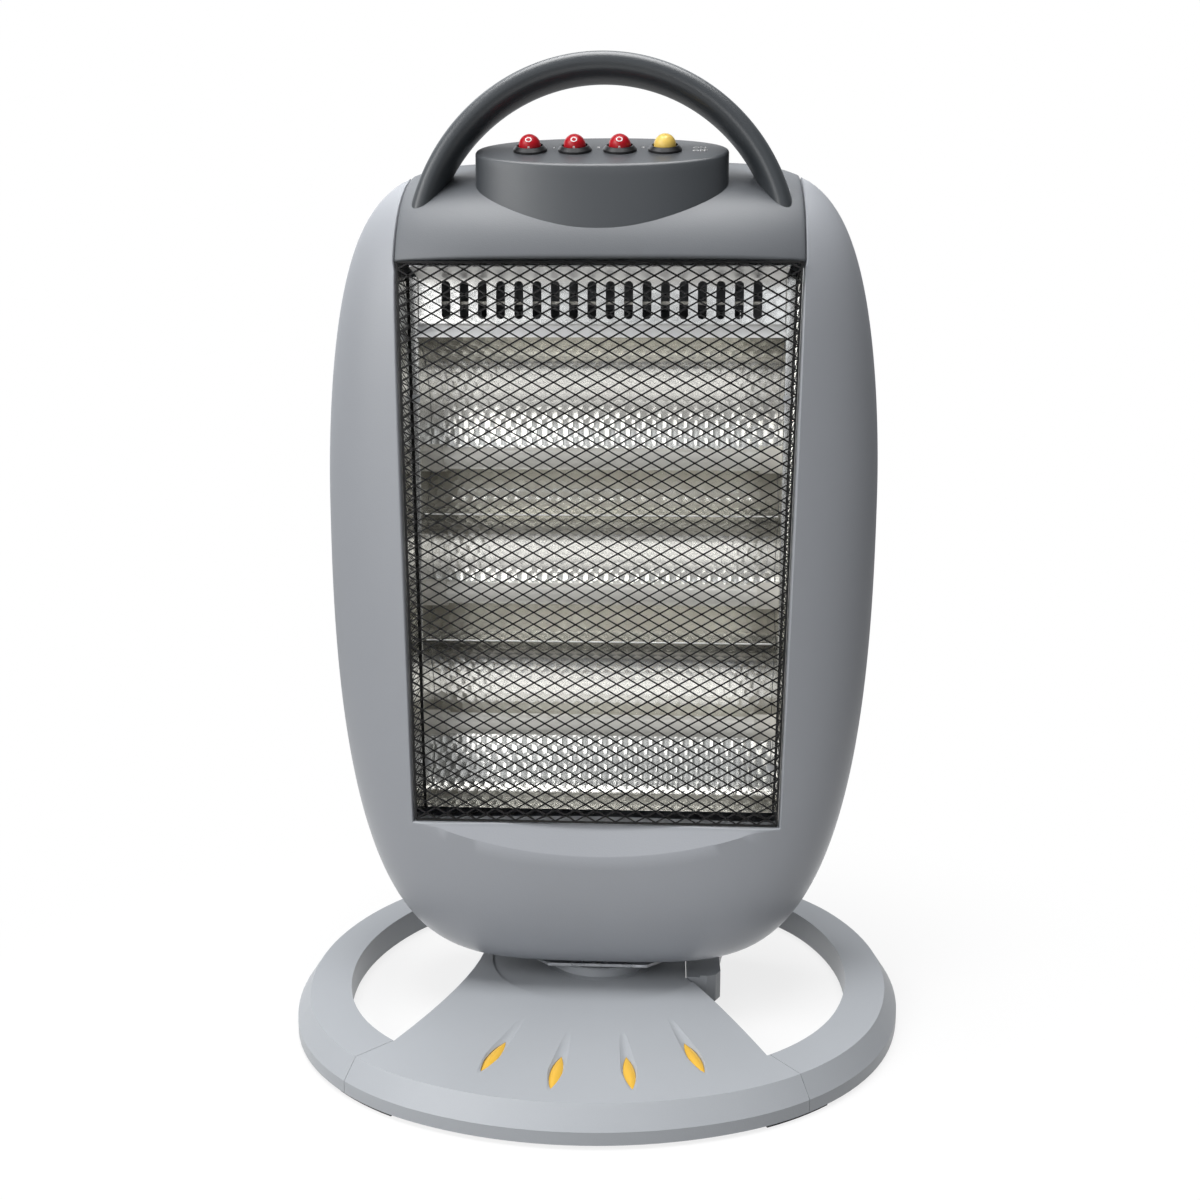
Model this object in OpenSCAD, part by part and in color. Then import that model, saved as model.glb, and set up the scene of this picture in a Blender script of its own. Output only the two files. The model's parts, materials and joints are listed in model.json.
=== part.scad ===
// Halogen heater: a barrel-shaped head with three halogen tubes behind a diamond mesh,
// carried on a round base with two holes, and swung from side to side by a small motor.
// Millimetres. X runs to the right, Y to the back, Z up. The origin is on the floor
// under the middle of the base, on the axis that the head swings about.

/* [Base ring] */
// Half the width of the base ring
ring_half = 170; // [160:1:185]
// How far each flatter side's arc has its centre beyond the middle
ring_bow = 28; // [16:1:32]
// Width of the ring from its outer edge to the hole
ring_w = 28; // [24:1:34]
// Height of the base's top face above the floor
base_h = 17.6; // [16:0.2:20]
// Height of the upright outer lip above the floor
lip_h = 8; // [6:0.5:9]
// Width of the sloping chamfer inside the lip
chamfer_w = 6.6; // [5:0.1:9]
// Gap between the floor and the base's lower edge
floor_gap = 2; // [1:0.25:3]
// Wall of the base mouldings
base_wall = 2.5; // [2:0.1:3]
// Turn of the ring's right seam from the front, about the corner arc's centre
seam_right = 36; // [34:0.5:40]
// Turn of the ring's left seam from the front
seam_left = 39; // [36:0.5:42]
// Turn of the middle of each rubber pad from the front or back
pad_turn = 34.3; // [33:0.1:35.5]
// Half the turn that a rubber pad covers
pad_half_turn = 7.6; // [6.5:0.1:8.5]
// Radial width of a rubber pad
pad_w = 13; // [9:0.5:14]
// Thickness of a rubber pad
pad_t = 4; // [3.5:0.25:5]

/* [Base web] */
// Half the width of the web's broad edge at the middle
waist_half = 70; // [66:1:76]
// Half the width of the web's narrow edge where it ends
narrow_half = 50; // [47:1:54]
// How far the broad edge's lobe reaches past the middle
lobe_reach = 27; // [22:1:32]
// Radius of the shallow dish round the middle
dish_r = 64; // [60:1:66]
// Depth of the shallow dish
dish_d = 1; // [0.5:0.1:1.2]
// Clearance between base mouldings
base_clear = 0.3; // [0.2:0.05:0.5]

/* [Accent lenses] */
// Length of a lens
lens_len = 31; // [26:0.5:34]
// Width of a lens
lens_w = 5.6; // [4.5:0.1:6.5]
// How far the lens's crown stands above the base
lens_proud = 0.6; // [0.3:0.1:1]
// Turn of the row of lenses from the front, about the middle
lens_row_turn = 2.4; // [-4:0.2:4]
// Depth of the groove beside each lens
groove_d = 1.8; // [1:0.1:1.8]
// Width of the groove beside each lens
groove_w = 8; // [7:0.2:10]

/* [Swivel] */
// Radius of the hub that fills the middle of the web
hub_r = 33.7; // [32:0.1:36]
// Radius of the hub's flange under the web
flange_r = 58; // [54:0.5:60]
// Thickness of the hub's flange
flange_t = 3; // [2.5:0.1:4]
// Radius of the turntable that the head turns on
turntable_r = 30; // [26:0.5:31]
// Height of the turntable
turntable_h = 4.8; // [4:0.1:6]
// Outer radius of the hollow pivot tube
tube_r = 8; // [7:0.1:9]
// Bore radius of the hollow pivot tube
tube_bore_r = 5.5; // [4:0.1:6]
// Height of the pivot tube's top above the floor
tube_top = 41; // [39:0.5:42]
// Radial running clearance of turning pins and shafts
run_clear = 0.06; // [0.04:0.01:0.08]
// Thickness of the slip washer under the head
washer_t = 1; // [0.8:0.1:1.5]
// Thickness of the galvanised swivel plate
swivel_t = 1.6; // [1.2:0.1:2]
// Half the width of the swivel plate
swivel_half_w = 36; // [34:0.5:40]
// Half the depth of the swivel plate
swivel_half_d = 29; // [26:0.5:30]
// Bevel at the swivel plate's corners
swivel_bevel = 8; // [6:0.5:10]

/* [Swing drive] */
// Distance from the swing axis to the motor's shaft
motor_off = 18; // [17:0.25:20]
// Largest turn of the head to each side
swing_turn = 30; // [25:1:32]
// Radius of the motor's body
motor_r = 21; // [19:0.25:22]
// Height of the motor's body
motor_h = 18; // [14:0.5:22]
// Radius of the motor's shaft
shaft_r = 3; // [2.5:0.1:3.5]
// Radius of the crank's pin
pin_r = 2.5; // [2:0.1:2.8]
// Thickness of the slotted arm
arm_t = 3; // [2.5:0.1:3]
// Clearance of the crank's pin in the slotted arm
slot_clear = 0.8; // [0.75:0.05:1]
// Thickness of the steel brackets in the head
steel_t = 1.5; // [1:0.1:1.6]

/* [Head] */
// Half the width of the head at its widest
head_half = 150.8; // [146:0.2:156]
// Height of the widest point above the floor
head_mid = 286; // [282:1:290]
// Height of the head above its widest point
head_up = 182; // [180:0.5:185]
// Depth of the head in front of the parting line
head_front = 60; // [57:0.5:64]
// Depth of the head behind the parting line
head_rear = 52; // [50:0.5:60]
// Wall of the head's mouldings
shell_wall = 2.5; // [2:0.1:3]
// Gap at the seams between the head's mouldings
seam_gap = 0.3; // [0.2:0.05:0.4]

/* [Window] */
// Half the width of the window at its top
win_top_half = 104; // [100:0.5:106]
// Half the width of the window at its foot
win_foot_half = 98; // [96:0.5:100]
// Height of the window's top edge
win_top = 403; // [400:0.5:406]
// Height of the window's lower edge
win_foot = 111.5; // [108:0.5:114]
// Half the width of the top cap
cap_half = 105; // [103:0.5:107]

/* [Grille] */
// Distance of the mesh in front of the parting line
mesh_front = 52; // [50:0.5:53]
// Thickness of the mesh
mesh_t = 0.8; // [0.6:0.1:1.2]
// Depth of the mesh box behind its face
mesh_deep = 22; // [20:0.5:24]
// Columns of diamonds in the mesh's face
mesh_cols = 7; // [5:1:8]
// Rows of diamonds in the mesh's face
mesh_rows = 29; // [20:1:30]
// Width of a strand of the mesh
strand_w = 1.4; // [1.2:0.1:1.8]
// Width of the plain border of the mesh
mesh_edge = 3; // [2:0.25:4]
// Gap between the mesh box and the window's edge
mesh_gap = 1; // [0.6:0.1:2]

/* [Reflector] */
// Thickness of the reflector's sheet
sheet_t = 0.8; // [0.6:0.1:1]
// Clearance between the reflector and the window's foot at each side
refl_gap = 1; // [0.5:0.1:3]
// How far the side plates' front edges reach past the mesh
side_lap = 3; // [1:0.5:4]
// Distance of the folds between the troughs in front of the parting line
fold_front = 26; // [24:0.5:28]
// Distance of the deepest lines of the troughs in front of the parting line
trough_front = 3; // [1:0.5:6]
// Height of the reflector's top edge
refl_top = 368; // [364:0.5:372]
// Height of the upper fold
fold_high = 276; // [272:0.5:280]
// Height of the lower fold
fold_low = 207; // [203:0.5:211]
// Height of the reflector's lower edge
refl_foot = 113.6; // [113.6:0.1:116]
// Distance of the reflector's front edges in front of the parting line
lip_front = 36; // [33:0.5:40]
// Distance of the slotted vent plate in front of the parting line
vent_front = 30; // [28:0.5:32]
// Slots in the vent plate
vent_slots = 18; // [10:1:18]
// Spacing of the slots in the vent plate
vent_pitch = 9.69; // [8:0.1:10]
// Width of a slot in the vent plate
vent_w = 4.8; // [3:0.1:6]
// Height of a slot in the vent plate
vent_h = 19.6; // [14:0.2:21]

/* [Halogen tubes] */
// Height of the middle tube
lamp_mid = 233; // [229:0.5:237]
// Spacing of the tubes
lamp_pitch = 74; // [72:0.5:76]
// Distance of the tubes in front of the parting line
lamp_front = 17; // [15:0.5:19]
// Radius of a glass tube
lamp_r = 6; // [4.5:0.1:6.5]
// Distance of a glass tube's ends inside the reflector's ends
lamp_gap = 5; // [3:0.5:9]
// Radius of a ceramic end cap
cap_r = 7.4; // [6.8:0.1:8]
// Length of a ceramic end cap
end_cap_len = 18.6; // [16:0.2:24]

/* [Handle] */
// Radius of the handle's arch along the middle of the grip
arch_r = 97; // [95:0.5:99]
// Height of the arch's centre
arch_z = 407.5; // [406:0.5:410]
// Distance of the handle in front of the parting line
arch_front = 29; // [27:0.5:31]
// Thickness of the grip along the arch's radius
grip_t = 12.8; // [12:0.2:14.8]
// Depth of the grip from front to back
grip_d = 22; // [19:0.5:24]

/* [Switch panel] */
// Half the width of the switch panel
panel_half = 66; // [62:0.5:70]
// Half the depth of the switch panel, seen from above
panel_half_d = 23.8; // [22:0.2:25]
// Distance of the panel's middle in front of the parting line
panel_front = 28.8; // [27:0.2:30]
// Height of the panel's middle
panel_z = 464; // [461:0.5:467]
// Tilt of the panel's top towards the front
panel_tilt = 32.5; // [30:0.5:36]
// Wall of the panel
panel_wall = 2.5; // [2:0.1:3]

/* [Switches] */
// Spacing of the four switches
switch_pitch = 23.4; // [20:0.1:25]
// Shift of the row of switches to the left
switch_shift = 2.3; // [0:0.1:5]
// Radius of a switch's barrel behind the panel
barrel_r = 8; // [7.5:0.1:8.5]
// Radius of a switch's bezel
bezel_r = 8.8; // [8.6:0.1:9.4]
// Height of a switch's bezel above the panel
bezel_h = 2.6; // [2:0.1:3]
// Radius of a rocker
rocker_r = 5.8; // [5.4:0.1:5.9]
// Turn of a rocker from one side to the other
rocker_turn = 16; // [10:1:18]

/* [Rear panel] */
// Half the width of the opening for the rear panel
rear_half = 78; // [70:1:84]
// Height of the rear opening's lower edge
rear_foot = 150; // [140:1:160]
// Height of the rear opening's top edge
rear_top = 400; // [385:1:404]
// Distance of the rear panel's outer face behind the parting line
rear_face = 48; // [46:0.5:49]
// Thickness of the rear panel
rear_t = 2; // [1.6:0.1:2.5]
// Length of a louvre in the rear panel
louvre_len = 42; // [34:1:44]
// Height of a louvre in the rear panel
louvre_h = 5; // [3:0.25:6]
// Rows of louvres in the rear panel
louvre_rows = 17; // [8:1:18]

/* [Tip switch] */
// Distance of the tip-over switch behind the middle
tip_back = 82; // [78:1:90]
// Radius of the tip-over plunger
plunger_r = 3; // [2.5:0.1:3.5]
// Travel of the tip-over plunger
plunger_travel = 4; // [3:0.25:4.5]

/* [Cord gland] */
// Place of the cord gland to the right of the middle
gland_x = 50; // [30:1:56]
// Height of the cord gland
gland_z = 166; // [164:1:170]
// Bore radius of the cord gland
gland_bore_r = 3.6; // [3:0.1:4]

/* [Hidden] */
$fn = 48;

wide_up = [1.93, 0.15];                             // powers of the head's width, above its widest
wide_down = [2.5, 0.233];                           // point and below it
deep_up = [7, 1.16];                                // powers of the front's depth above that point
deep_up_rear = [9, 0.6];                            // and of the rear's
deep_down = [14, 0.333];                            // powers of both depths below that point
head_foot_z = 24;                                   // lowest point of the head
head_down = head_mid - head_foot_z;                 // height of the head below its widest point
plate_z = base_h - base_wall;                       // underside of the base's top plate
dish_z = base_h - dish_d;                           // floor of the dish
arc_turn = 22.5;                                    // half the turn of each flatter arc of the ring
side_r = ring_half + ring_bow;                      // radius of the flatter arcs
corner_shift = ring_bow / (cos(arc_turn) - sin(arc_turn));
corner_r = side_r - corner_shift;                   // radius of the corner arcs
corner_off = corner_shift * sin(arc_turn);          // corner arcs' centres, along X and Y
overlap = 0.02;                                     // turn by which joined arcs overlap
seat_in = 1.3;                                      // pads' distance from the ring's outer edge
table_top = dish_z + turntable_h;                   // top of the turntable
swivel_z = table_top + washer_t;                    // underside of the swivel plate
swivel_top = swivel_z + swivel_t;                   // top of the swivel plate
crank_r = motor_off * tan(swing_turn);              // throw of the crank
shell_power = 3.4;                                  // squareness of the head, seen from above
chassis_half_w = 38;                                // half the width of the chassis plate
chassis_half_d = 21;                                // half the depth of the chassis plate
rear_share_d = (head_front - shell_wall) / (head_rear - shell_wall);
chassis_z = skin_z(chassis_half_w, -chassis_half_d * rear_share_d, shell_wall, head_foot_z, 40, 20) + 0.5;
chassis_top = chassis_z + steel_t;                  // top of the chassis plate
arm_z = tube_top - arm_t - 1;                       // underside of the slotted arm
crank_z = tube_top + 1;                             // underside of the crank disc
crank_t = 3;                                        // thickness of the crank disc
bracket_z = crank_z + crank_t + 1.5;                // underside of the motor bracket's bridge
motor_z = bracket_z + steel_t;                      // underside of the motor
mesh_rear = mesh_front - mesh_deep;                 // rear edge of the mesh box
refl_half = min(win_foot_half, win_top_half) - refl_gap;  // half the width of the reflector
lamp_half = refl_half - lamp_gap;                   // half the length of a glass tube
lamp_heights = [lamp_mid + lamp_pitch, lamp_mid, lamp_mid - lamp_pitch];
plunger_foot = 0.1;                                 // plunger's tip above the floor at rest

light_grey = [0.62, 0.64, 0.67];
cap_grey = [0.47, 0.48, 0.50];
panel_grey = [0.36, 0.37, 0.39];
handle_grey = [0.27, 0.28, 0.30];
base_grey = [0.66, 0.67, 0.69];
black = [0.05, 0.05, 0.05];
zinc = [0.72, 0.73, 0.74];
steel = [0.66, 0.67, 0.68];
mirror_alu = [0.82, 0.82, 0.80];
amber = [0.98, 0.70, 0.12];
red = [0.78, 0.05, 0.12];
yellow = [0.95, 0.80, 0.25];
ceramic = [0.92, 0.90, 0.85];

// ---------- shared shape functions ----------

// Half-width of the head at height z, for a head whose wall lies w inside the outer skin
function head_w(z, w = 0) =
    let (up = z >= head_mid, h = abs(z - head_mid) / ((up ? head_up : head_down) - w))
    (head_half - w) * pow(max(1 - pow(h, (up ? wide_up : wide_down)[0]), 0), (up ? wide_up : wide_down)[1]);

// Depth of the head's front at height z
function front_d(z, w = 0) =
    let (up = z >= head_mid, h = abs(z - head_mid) / ((up ? head_up : head_down) - w))
    (head_front - w) * pow(max(1 - pow(h, (up ? deep_up : deep_down)[0]), 0), (up ? deep_up : deep_down)[1]);

// Depth of the head's rear at height z
function rear_d(z, w = 0) =
    let (up = z >= head_mid, h = abs(z - head_mid) / ((up ? head_up : head_down) - w))
    (head_rear - w)
        * pow(max(1 - pow(h, (up ? deep_up_rear : deep_down)[0]), 0), (up ? deep_up_rear : deep_down)[1]);

// Share of the depth that is left at distance x from the middle
function round_off(x, half) =
    pow(max(1 - pow(min(abs(x) / max(half, 0.001), 1), shell_power), 0), 1 / shell_power);

function front_y(x, z, w = 0) = -front_d(z, w) * round_off(x, head_w(z, w));
function rear_y(x, z, w = 0) = rear_d(z, w) * round_off(x, head_w(z, w));

// Height of the head's outline above the middle at distance x
function top_z(x, w = 0) =
    head_mid + (head_up - w) * pow(1 - pow(abs(x) / (head_half - w), 1 / wide_up[1]), 1 / wide_up[0]);

// Half-width of the window's straight side, carried on upwards along the cap's seam
function win_half(z) =
    z > win_top ? cap_half
    : win_foot_half + (win_top_half - win_foot_half) * (z - win_foot) / (win_top - win_foot);

// Distance from the middle to the outline along a direction, by halving
function reach(dx, dz, w, lo, hi, n) =
    let (k = (lo + hi) / 2)
    n == 0 ? k
    : (abs(k * dx) < head_w(head_mid + k * dz, w)) ? reach(dx, dz, w, k, hi, n - 1)
    : reach(dx, dz, w, lo, k, n - 1);

// Height of the front skin's floor under a point of the plan, by halving
function skin_z(x, y, w, lo, hi, n) =
    let (z = (lo + hi) / 2)
    n == 0 ? z
    : (front_y(x, z, w) < y) ? skin_z(x, y, w, lo, z, n - 1)
    : skin_z(x, y, w, z, hi, n - 1);

function ease_out(t) = 1 - pow(1 - t, 3);
function bezier(a, b, c, t) = a * (1 - t) * (1 - t) + b * 2 * t * (1 - t) + c * t * t;

// ---------- shared modules ----------

// A closed solid between two point grids of nu by nv points, wrapped in u where closed is true
module grid_solid(outer, inner, nu, nv, closed = false) {
    n = nu * nv;
    last_u = closed ? nu - 1 : nu - 2;
    function at(i, j, s) = s * n + (i % nu) * nv + j;
    skin = [for (i = [0:last_u]) for (j = [0:nv - 2])
        each [[at(i, j, 0), at(i + 1, j, 0), at(i + 1, j + 1, 0)],
              [at(i, j, 0), at(i + 1, j + 1, 0), at(i, j + 1, 0)],
              [at(i, j, 1), at(i + 1, j + 1, 1), at(i + 1, j, 1)],
              [at(i, j, 1), at(i, j + 1, 1), at(i + 1, j + 1, 1)]]];
    edge_u = [for (i = [0:last_u])
        each [[at(i, 0, 0), at(i, 0, 1), at(i + 1, 0, 1)],
              [at(i, 0, 0), at(i + 1, 0, 1), at(i + 1, 0, 0)],
              [at(i, nv - 1, 0), at(i + 1, nv - 1, 0), at(i + 1, nv - 1, 1)],
              [at(i, nv - 1, 0), at(i + 1, nv - 1, 1), at(i, nv - 1, 1)]]];
    edge_v = closed ? [] : [for (j = [0:nv - 2])
        each [[at(0, j, 0), at(0, j + 1, 0), at(0, j + 1, 1)],
              [at(0, j, 0), at(0, j + 1, 1), at(0, j, 1)],
              [at(nu - 1, j, 0), at(nu - 1, j, 1), at(nu - 1, j + 1, 1)],
              [at(nu - 1, j, 0), at(nu - 1, j + 1, 1), at(nu - 1, j + 1, 0)]]];
    polyhedron(concat(outer, inner), concat(skin, edge_u, edge_v));
}

// A flat blade shape with two pointed ends, half-length a and half-width b
module blade(a, b) {
    r = (a * a + b * b) / (2 * b);
    intersection() {
        translate([r - b, 0]) circle(r, $fn = 96);
        translate([b - r, 0]) circle(r, $fn = 96);
    }
}

// A screw along -Z with its head's underside at the origin
module screw(head_r, head_h, shank_r, shank_len) {
    cylinder(r = head_r, h = head_h);
    translate([0, 0, -shank_len]) cylinder(r = shank_r, h = shank_len + 0.01);
}

// ---------- base ----------

// Section of the hollow ring, for an arc whose outer radius is r
module ring_section(r) {
    polygon([
        [r, floor_gap], [r, lip_h], [r - chamfer_w, base_h], [r - ring_w, base_h],
        [r - ring_w, floor_gap], [r - ring_w + base_wall, floor_gap],
        [r - ring_w + base_wall, plate_z], [r - chamfer_w - base_wall / 2, plate_z],
        [r - base_wall, lip_h - base_wall / 3], [r - base_wall, floor_gap]
    ]);
}

// Section of the solid block above a pad, for an arc whose outer radius is r
module seat_section(r) {
    polygon([
        [r - seat_in - pad_w, pad_t - 1], [r - seat_in, pad_t - 1],
        [r - seat_in, lip_h - base_wall / 2], [r - chamfer_w - base_wall, plate_z + 0.5],
        [r - seat_in - pad_w, plate_z + 0.5]
    ]);
}

// Turns the corner arcs' own frame, whose turns run from the front towards the right
module corner_arc(from, to) {
    translate([corner_off, -corner_off, 0])
        rotate_extrude(angle = to - from, start = from - 90, $fn = 180) children();
}

// One of the flatter arcs, with its middle at the given turn from the right
module flat_arc(turn) {
    translate([-ring_bow * cos(turn), -ring_bow * sin(turn), 0])
        rotate_extrude(angle = 2 * (arc_turn + overlap), start = turn - arc_turn - overlap, $fn = 180)
            ring_section(side_r);
}

seam_turns = [seam_right, seam_left];

// Pockets for the four pads
module pad_pockets() {
    for (turn = [0, 1]) mirror([0, turn, 0])
        for (side = [0, 1]) mirror([side, 0, 0])
            corner_arc(pad_turn - pad_half_turn - 0.3, pad_turn + pad_half_turn + 0.3)
                translate([corner_r - seat_in - pad_w - 1, -1]) square([pad_w + 1, pad_t + 1]);
}

// The ring's part in front of the seams, with the pads' blocks
module ring_front() {
    flat_arc(-90);
    for (side = [0, 1]) mirror([side, 0, 0]) {
        corner_arc(arc_turn, seam_turns[side]) ring_section(corner_r);
        corner_arc(pad_turn - pad_half_turn, seam_turns[side] - 0.3) seat_section(corner_r);
    }
}

// The ring's part behind the seams, with the pads' blocks
module ring_rear() {
    flat_arc(90);
    for (side = [0, 1]) mirror([side, 0, 0]) {
        flat_arc(0);
        corner_arc(seam_turns[side] + 0.1, 90 - arc_turn) ring_section(corner_r);
        corner_arc(seam_turns[side] + 0.4, pad_turn + pad_half_turn) seat_section(corner_r);
        mirror([0, 1, 0]) {
            corner_arc(arc_turn, 90 - arc_turn) ring_section(corner_r);
            corner_arc(pad_turn - pad_half_turn, pad_turn + pad_half_turn) seat_section(corner_r);
        }
    }
}

ring_in_r = corner_r - ring_w;
web_sink = 1.2;                                     // how far the web runs into the ring's wall
function web_corner(turn) = [corner_off + (ring_in_r + web_sink) * sin(turn),
                             -corner_off - (ring_in_r + web_sink) * cos(turn)];
broad_corner = web_corner(seam_left - 0.4);
narrow_corner = web_corner(seam_right - 0.9);
web_steps = 8;

// The web's broad edge on the left and its narrow edge on the right, shifted inwards by w
function broad_edge(w) = [for (i = [0:web_steps])
    bezier([-broad_corner[0] + w, broad_corner[1]], [-waist_half + w, -45],
           [-waist_half + w, 0], i / web_steps)];
function narrow_edge(w) = [for (i = [0:web_steps])
    bezier([narrow_corner[0] - w, narrow_corner[1]], [narrow_half + 18 - w, -62],
           [narrow_half - w, -lobe_reach - 1], i / web_steps)];
function lobe_edge(w) = [
    [-waist_half + w, lobe_reach - 8], [-waist_half + 3 + w * 0.7, lobe_reach - 2 - w * 0.5],
    [-waist_half + 8 + w * 0.2, lobe_reach - w], [-narrow_half - base_clear, lobe_reach - w]];
function backwards(list) = [for (i = [len(list) - 1:-1:0]) list[i]];

// The ring's side of the web, just inside the ring's inner wall
function web_front(w) = [for (a = [-30:6:30])
    [(side_r - ring_w + 1) * sin(a * 0.93), ring_bow - (side_r - ring_w + 1) * cos(a * 0.93)]];

// Outline of one web, with a half-round place for the hub
module web_outline() {
    difference() {
        polygon(concat(
            broad_edge(0), lobe_edge(0),
            [[-narrow_half - base_clear, -base_clear / 2], [narrow_half, -base_clear / 2]],
            backwards(narrow_edge(0)),
            backwards(web_front(0))
        ));
        circle(hub_r + base_clear, $fn = 96);
    }
}

// Upright walls under the web's side edges and its lobe's edge
module web_skirts() {
    polygon(concat(
        broad_edge(0), lobe_edge(0), backwards(lobe_edge(base_wall)), backwards(broad_edge(base_wall))
    ));
    polygon(concat(narrow_edge(0), backwards(narrow_edge(base_wall))));
}

// Puts its children at each lens, with Y along the lens, outwards from the middle
lens_spots = [[48, ring_half - ring_w - 21, 15], [17, ring_half - ring_w - 6.5, 5.5]];
module at_lenses() {
    rotate(lens_row_turn)
        for (side = [-1, 1])
            for (spot = lens_spots)
                translate([side * spot[0], -spot[1], 0]) rotate(side * spot[2]) children();
}

// The groove is deepest at the middle of its lens, fades out towards the middle of the base,
// and is cut by a long double cone that lies level above it
groove_len = 44;
groove_back = 19;
groove_r = (groove_w * groove_w / 4 + groove_d * groove_d) / (2 * groove_d);
module groove() {
    low_r = groove_r - groove_d * 1.1;
    translate([0, 0, base_h + groove_r - groove_d]) rotate([-90, 0, 0])
        rotate_extrude(angle = 360, $fn = 64) polygon([
            [0, -groove_back * 1.1], [low_r, -groove_back * 1.1], [groove_r, 0],
            [low_r, groove_len * 1.1], [0, groove_len * 1.1]
        ]);
}

module web_solid() {
    difference() {
        union() {
            translate([0, 0, plate_z]) linear_extrude(base_wall) web_outline();
            translate([0, 0, floor_gap]) linear_extrude(plate_z - floor_gap + 0.2) web_skirts();
        }
        translate([0, 0, dish_z]) cylinder(r = dish_r, h = base_h, $fn = 128);
        for (side = [-1, 1])
            translate([side * hub_screw_x, -hub_screw_y, 0]) cylinder(r = 1.6, h = dish_z - 0.5);
    }
}

module base_front() {
    color(base_grey) difference() {
        union() {
            ring_front();
            web_solid();
        }
        pad_pockets();
        at_lenses() {
            groove();
            translate([0, 0, plate_z - 1])
                linear_extrude(base_wall + 2) blade(lens_len / 2 + 0.15, lens_w / 2 + 0.15);
        }
    }
}

module base_rear() {
    color(base_grey) difference() {
        union() {
            ring_rear();
            rotate(180) web_solid();
        }
        pad_pockets();
    }
}

module accent_lenses() {
    color(amber) {
        at_lenses() intersection() {
            translate([0, 0, plate_z - 0.1])
                linear_extrude(base_wall + 2) blade(lens_len / 2, lens_w / 2);
            translate([0, 0, base_h + lens_proud - 160])
                rotate([0, 90, 0]) cylinder(r = 160, h = lens_w * 2, center = true, $fn = 256);
        }
        intersection() {
            at_lenses() translate([0, 3, plate_z - 1.1])
                linear_extrude(1) blade(lens_len / 2 - 2, lens_w / 2 + 1.5);
            translate([0, ring_bow, 0]) cylinder(r = side_r - ring_w - 0.3, h = base_h, $fn = 180);
        }
    }
}

module foot_pads() {
    color(black)
        for (turn = [0, 1])
            mirror([0, turn, 0])
                for (side = [0, 1])
                    mirror([side, 0, 0])
                        corner_arc(pad_turn - pad_half_turn + 0.4, pad_turn + pad_half_turn - 0.4)
                            translate([corner_r - seat_in - pad_w + 0.4, 0])
                                square([pad_w - 0.8, pad_t]);
}

hub_deep = 7.6;
hub_screw_x = 30;
hub_screw_y = 44;
flange_half = narrow_half - base_wall - 1.5;

module hub_plate() {
    color(base_grey) difference() {
        union() {
            translate([0, 0, dish_z - hub_deep]) cylinder(r = hub_r, h = hub_deep, $fn = 96);
            translate([0, 0, plate_z - flange_t]) intersection() {
                cylinder(r = flange_r, h = flange_t, $fn = 96);
                translate([-flange_half, -flange_r, 0]) cube([2 * flange_half, 2 * flange_r, flange_t]);
            }
        }
        cylinder(r = tube_r, h = 40);
        for (x = [-1, 1]) for (y = [-1, 1])
            translate([x * hub_screw_x, y * hub_screw_y, 0]) cylinder(r = 1.7, h = 40);
    }
}

module hub_screws() {
    color(steel)
        for (x = [-1, 1]) for (y = [-1, 1])
            translate([x * hub_screw_x, y * hub_screw_y, plate_z - flange_t])
                rotate([180, 0, 0]) screw(3.2, 2, 1.5, dish_z - 0.8 - plate_z + flange_t);
}

module turntable() {
    color(base_grey) difference() {
        translate([0, 0, dish_z]) rotate_extrude($fn = 96) polygon([
            [tube_r, 0], [turntable_r, 0], [turntable_r, turntable_h - 0.8],
            [turntable_r - 0.8, turntable_h], [tube_r, turntable_h]
        ]);
    }
}

module pivot_tube() {
    color(steel) rotate_extrude($fn = 96) polygon([
        [tube_bore_r, 4], [tube_r - 0.1, 4], [tube_r - 0.1, table_top], [tube_r, table_top],
        [tube_r, tube_top], [tube_bore_r, tube_top]
    ]);
}

module pivot_nut() {
    color(steel) translate([0, 0, 5]) difference() {
        cylinder(r = 14, h = 4, $fn = 6);
        translate([0, 0, -1]) cylinder(r = tube_r - 0.05, h = 6);
    }
}

// The slotted arm is clamped to the fixed tube; the crank's pin slides along its slot
arm_half = pin_r + slot_clear + 2.6;
slot_in = sqrt(motor_off * motor_off + crank_r * crank_r) - pin_r - slot_clear;
slot_out = motor_off + crank_r + pin_r + slot_clear;
module slotted_arm() {
    color(zinc) translate([0, 0, arm_z]) difference() {
        linear_extrude(arm_t) difference() {
            union() {
                circle(tube_r + 4.5);
                translate([-arm_half, 0]) square([2 * arm_half, slot_out - 1]);
                translate([0, slot_out - 1]) circle(arm_half);
            }
            circle(tube_r + 0.02);
            translate([-pin_r - slot_clear, slot_in + 3])
                square([2 * (pin_r + slot_clear), slot_out - slot_in - 6]);
            translate([0, slot_in + 3]) circle(pin_r + slot_clear);
            translate([0, slot_out - 3]) circle(pin_r + slot_clear);
        }
    }
}

case_half_w = 9;
case_half_d = 8;
case_foot = 4.6;
module tip_switch_case() {
    color(black) translate([0, tip_back, 0]) difference() {
        translate([-case_half_w, -case_half_d, case_foot])
            cube([2 * case_half_w, 2 * case_half_d, plate_z - case_foot]);
        cylinder(r = plunger_r + run_clear, h = 12);
        translate([0, 0, case_foot + 1.2]) cylinder(r = plunger_r + 2.2, h = plate_z - case_foot - 2.4);
    }
}

module tip_spring() {
    color(steel) translate([0, tip_back, collar_z + 1]) difference() {
        cylinder(r = plunger_r + 1.6, h = plate_z - 1.2 - collar_z - 1);
        translate([0, 0, -1]) cylinder(r = plunger_r + 0.8, h = 20);
    }
}

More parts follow.
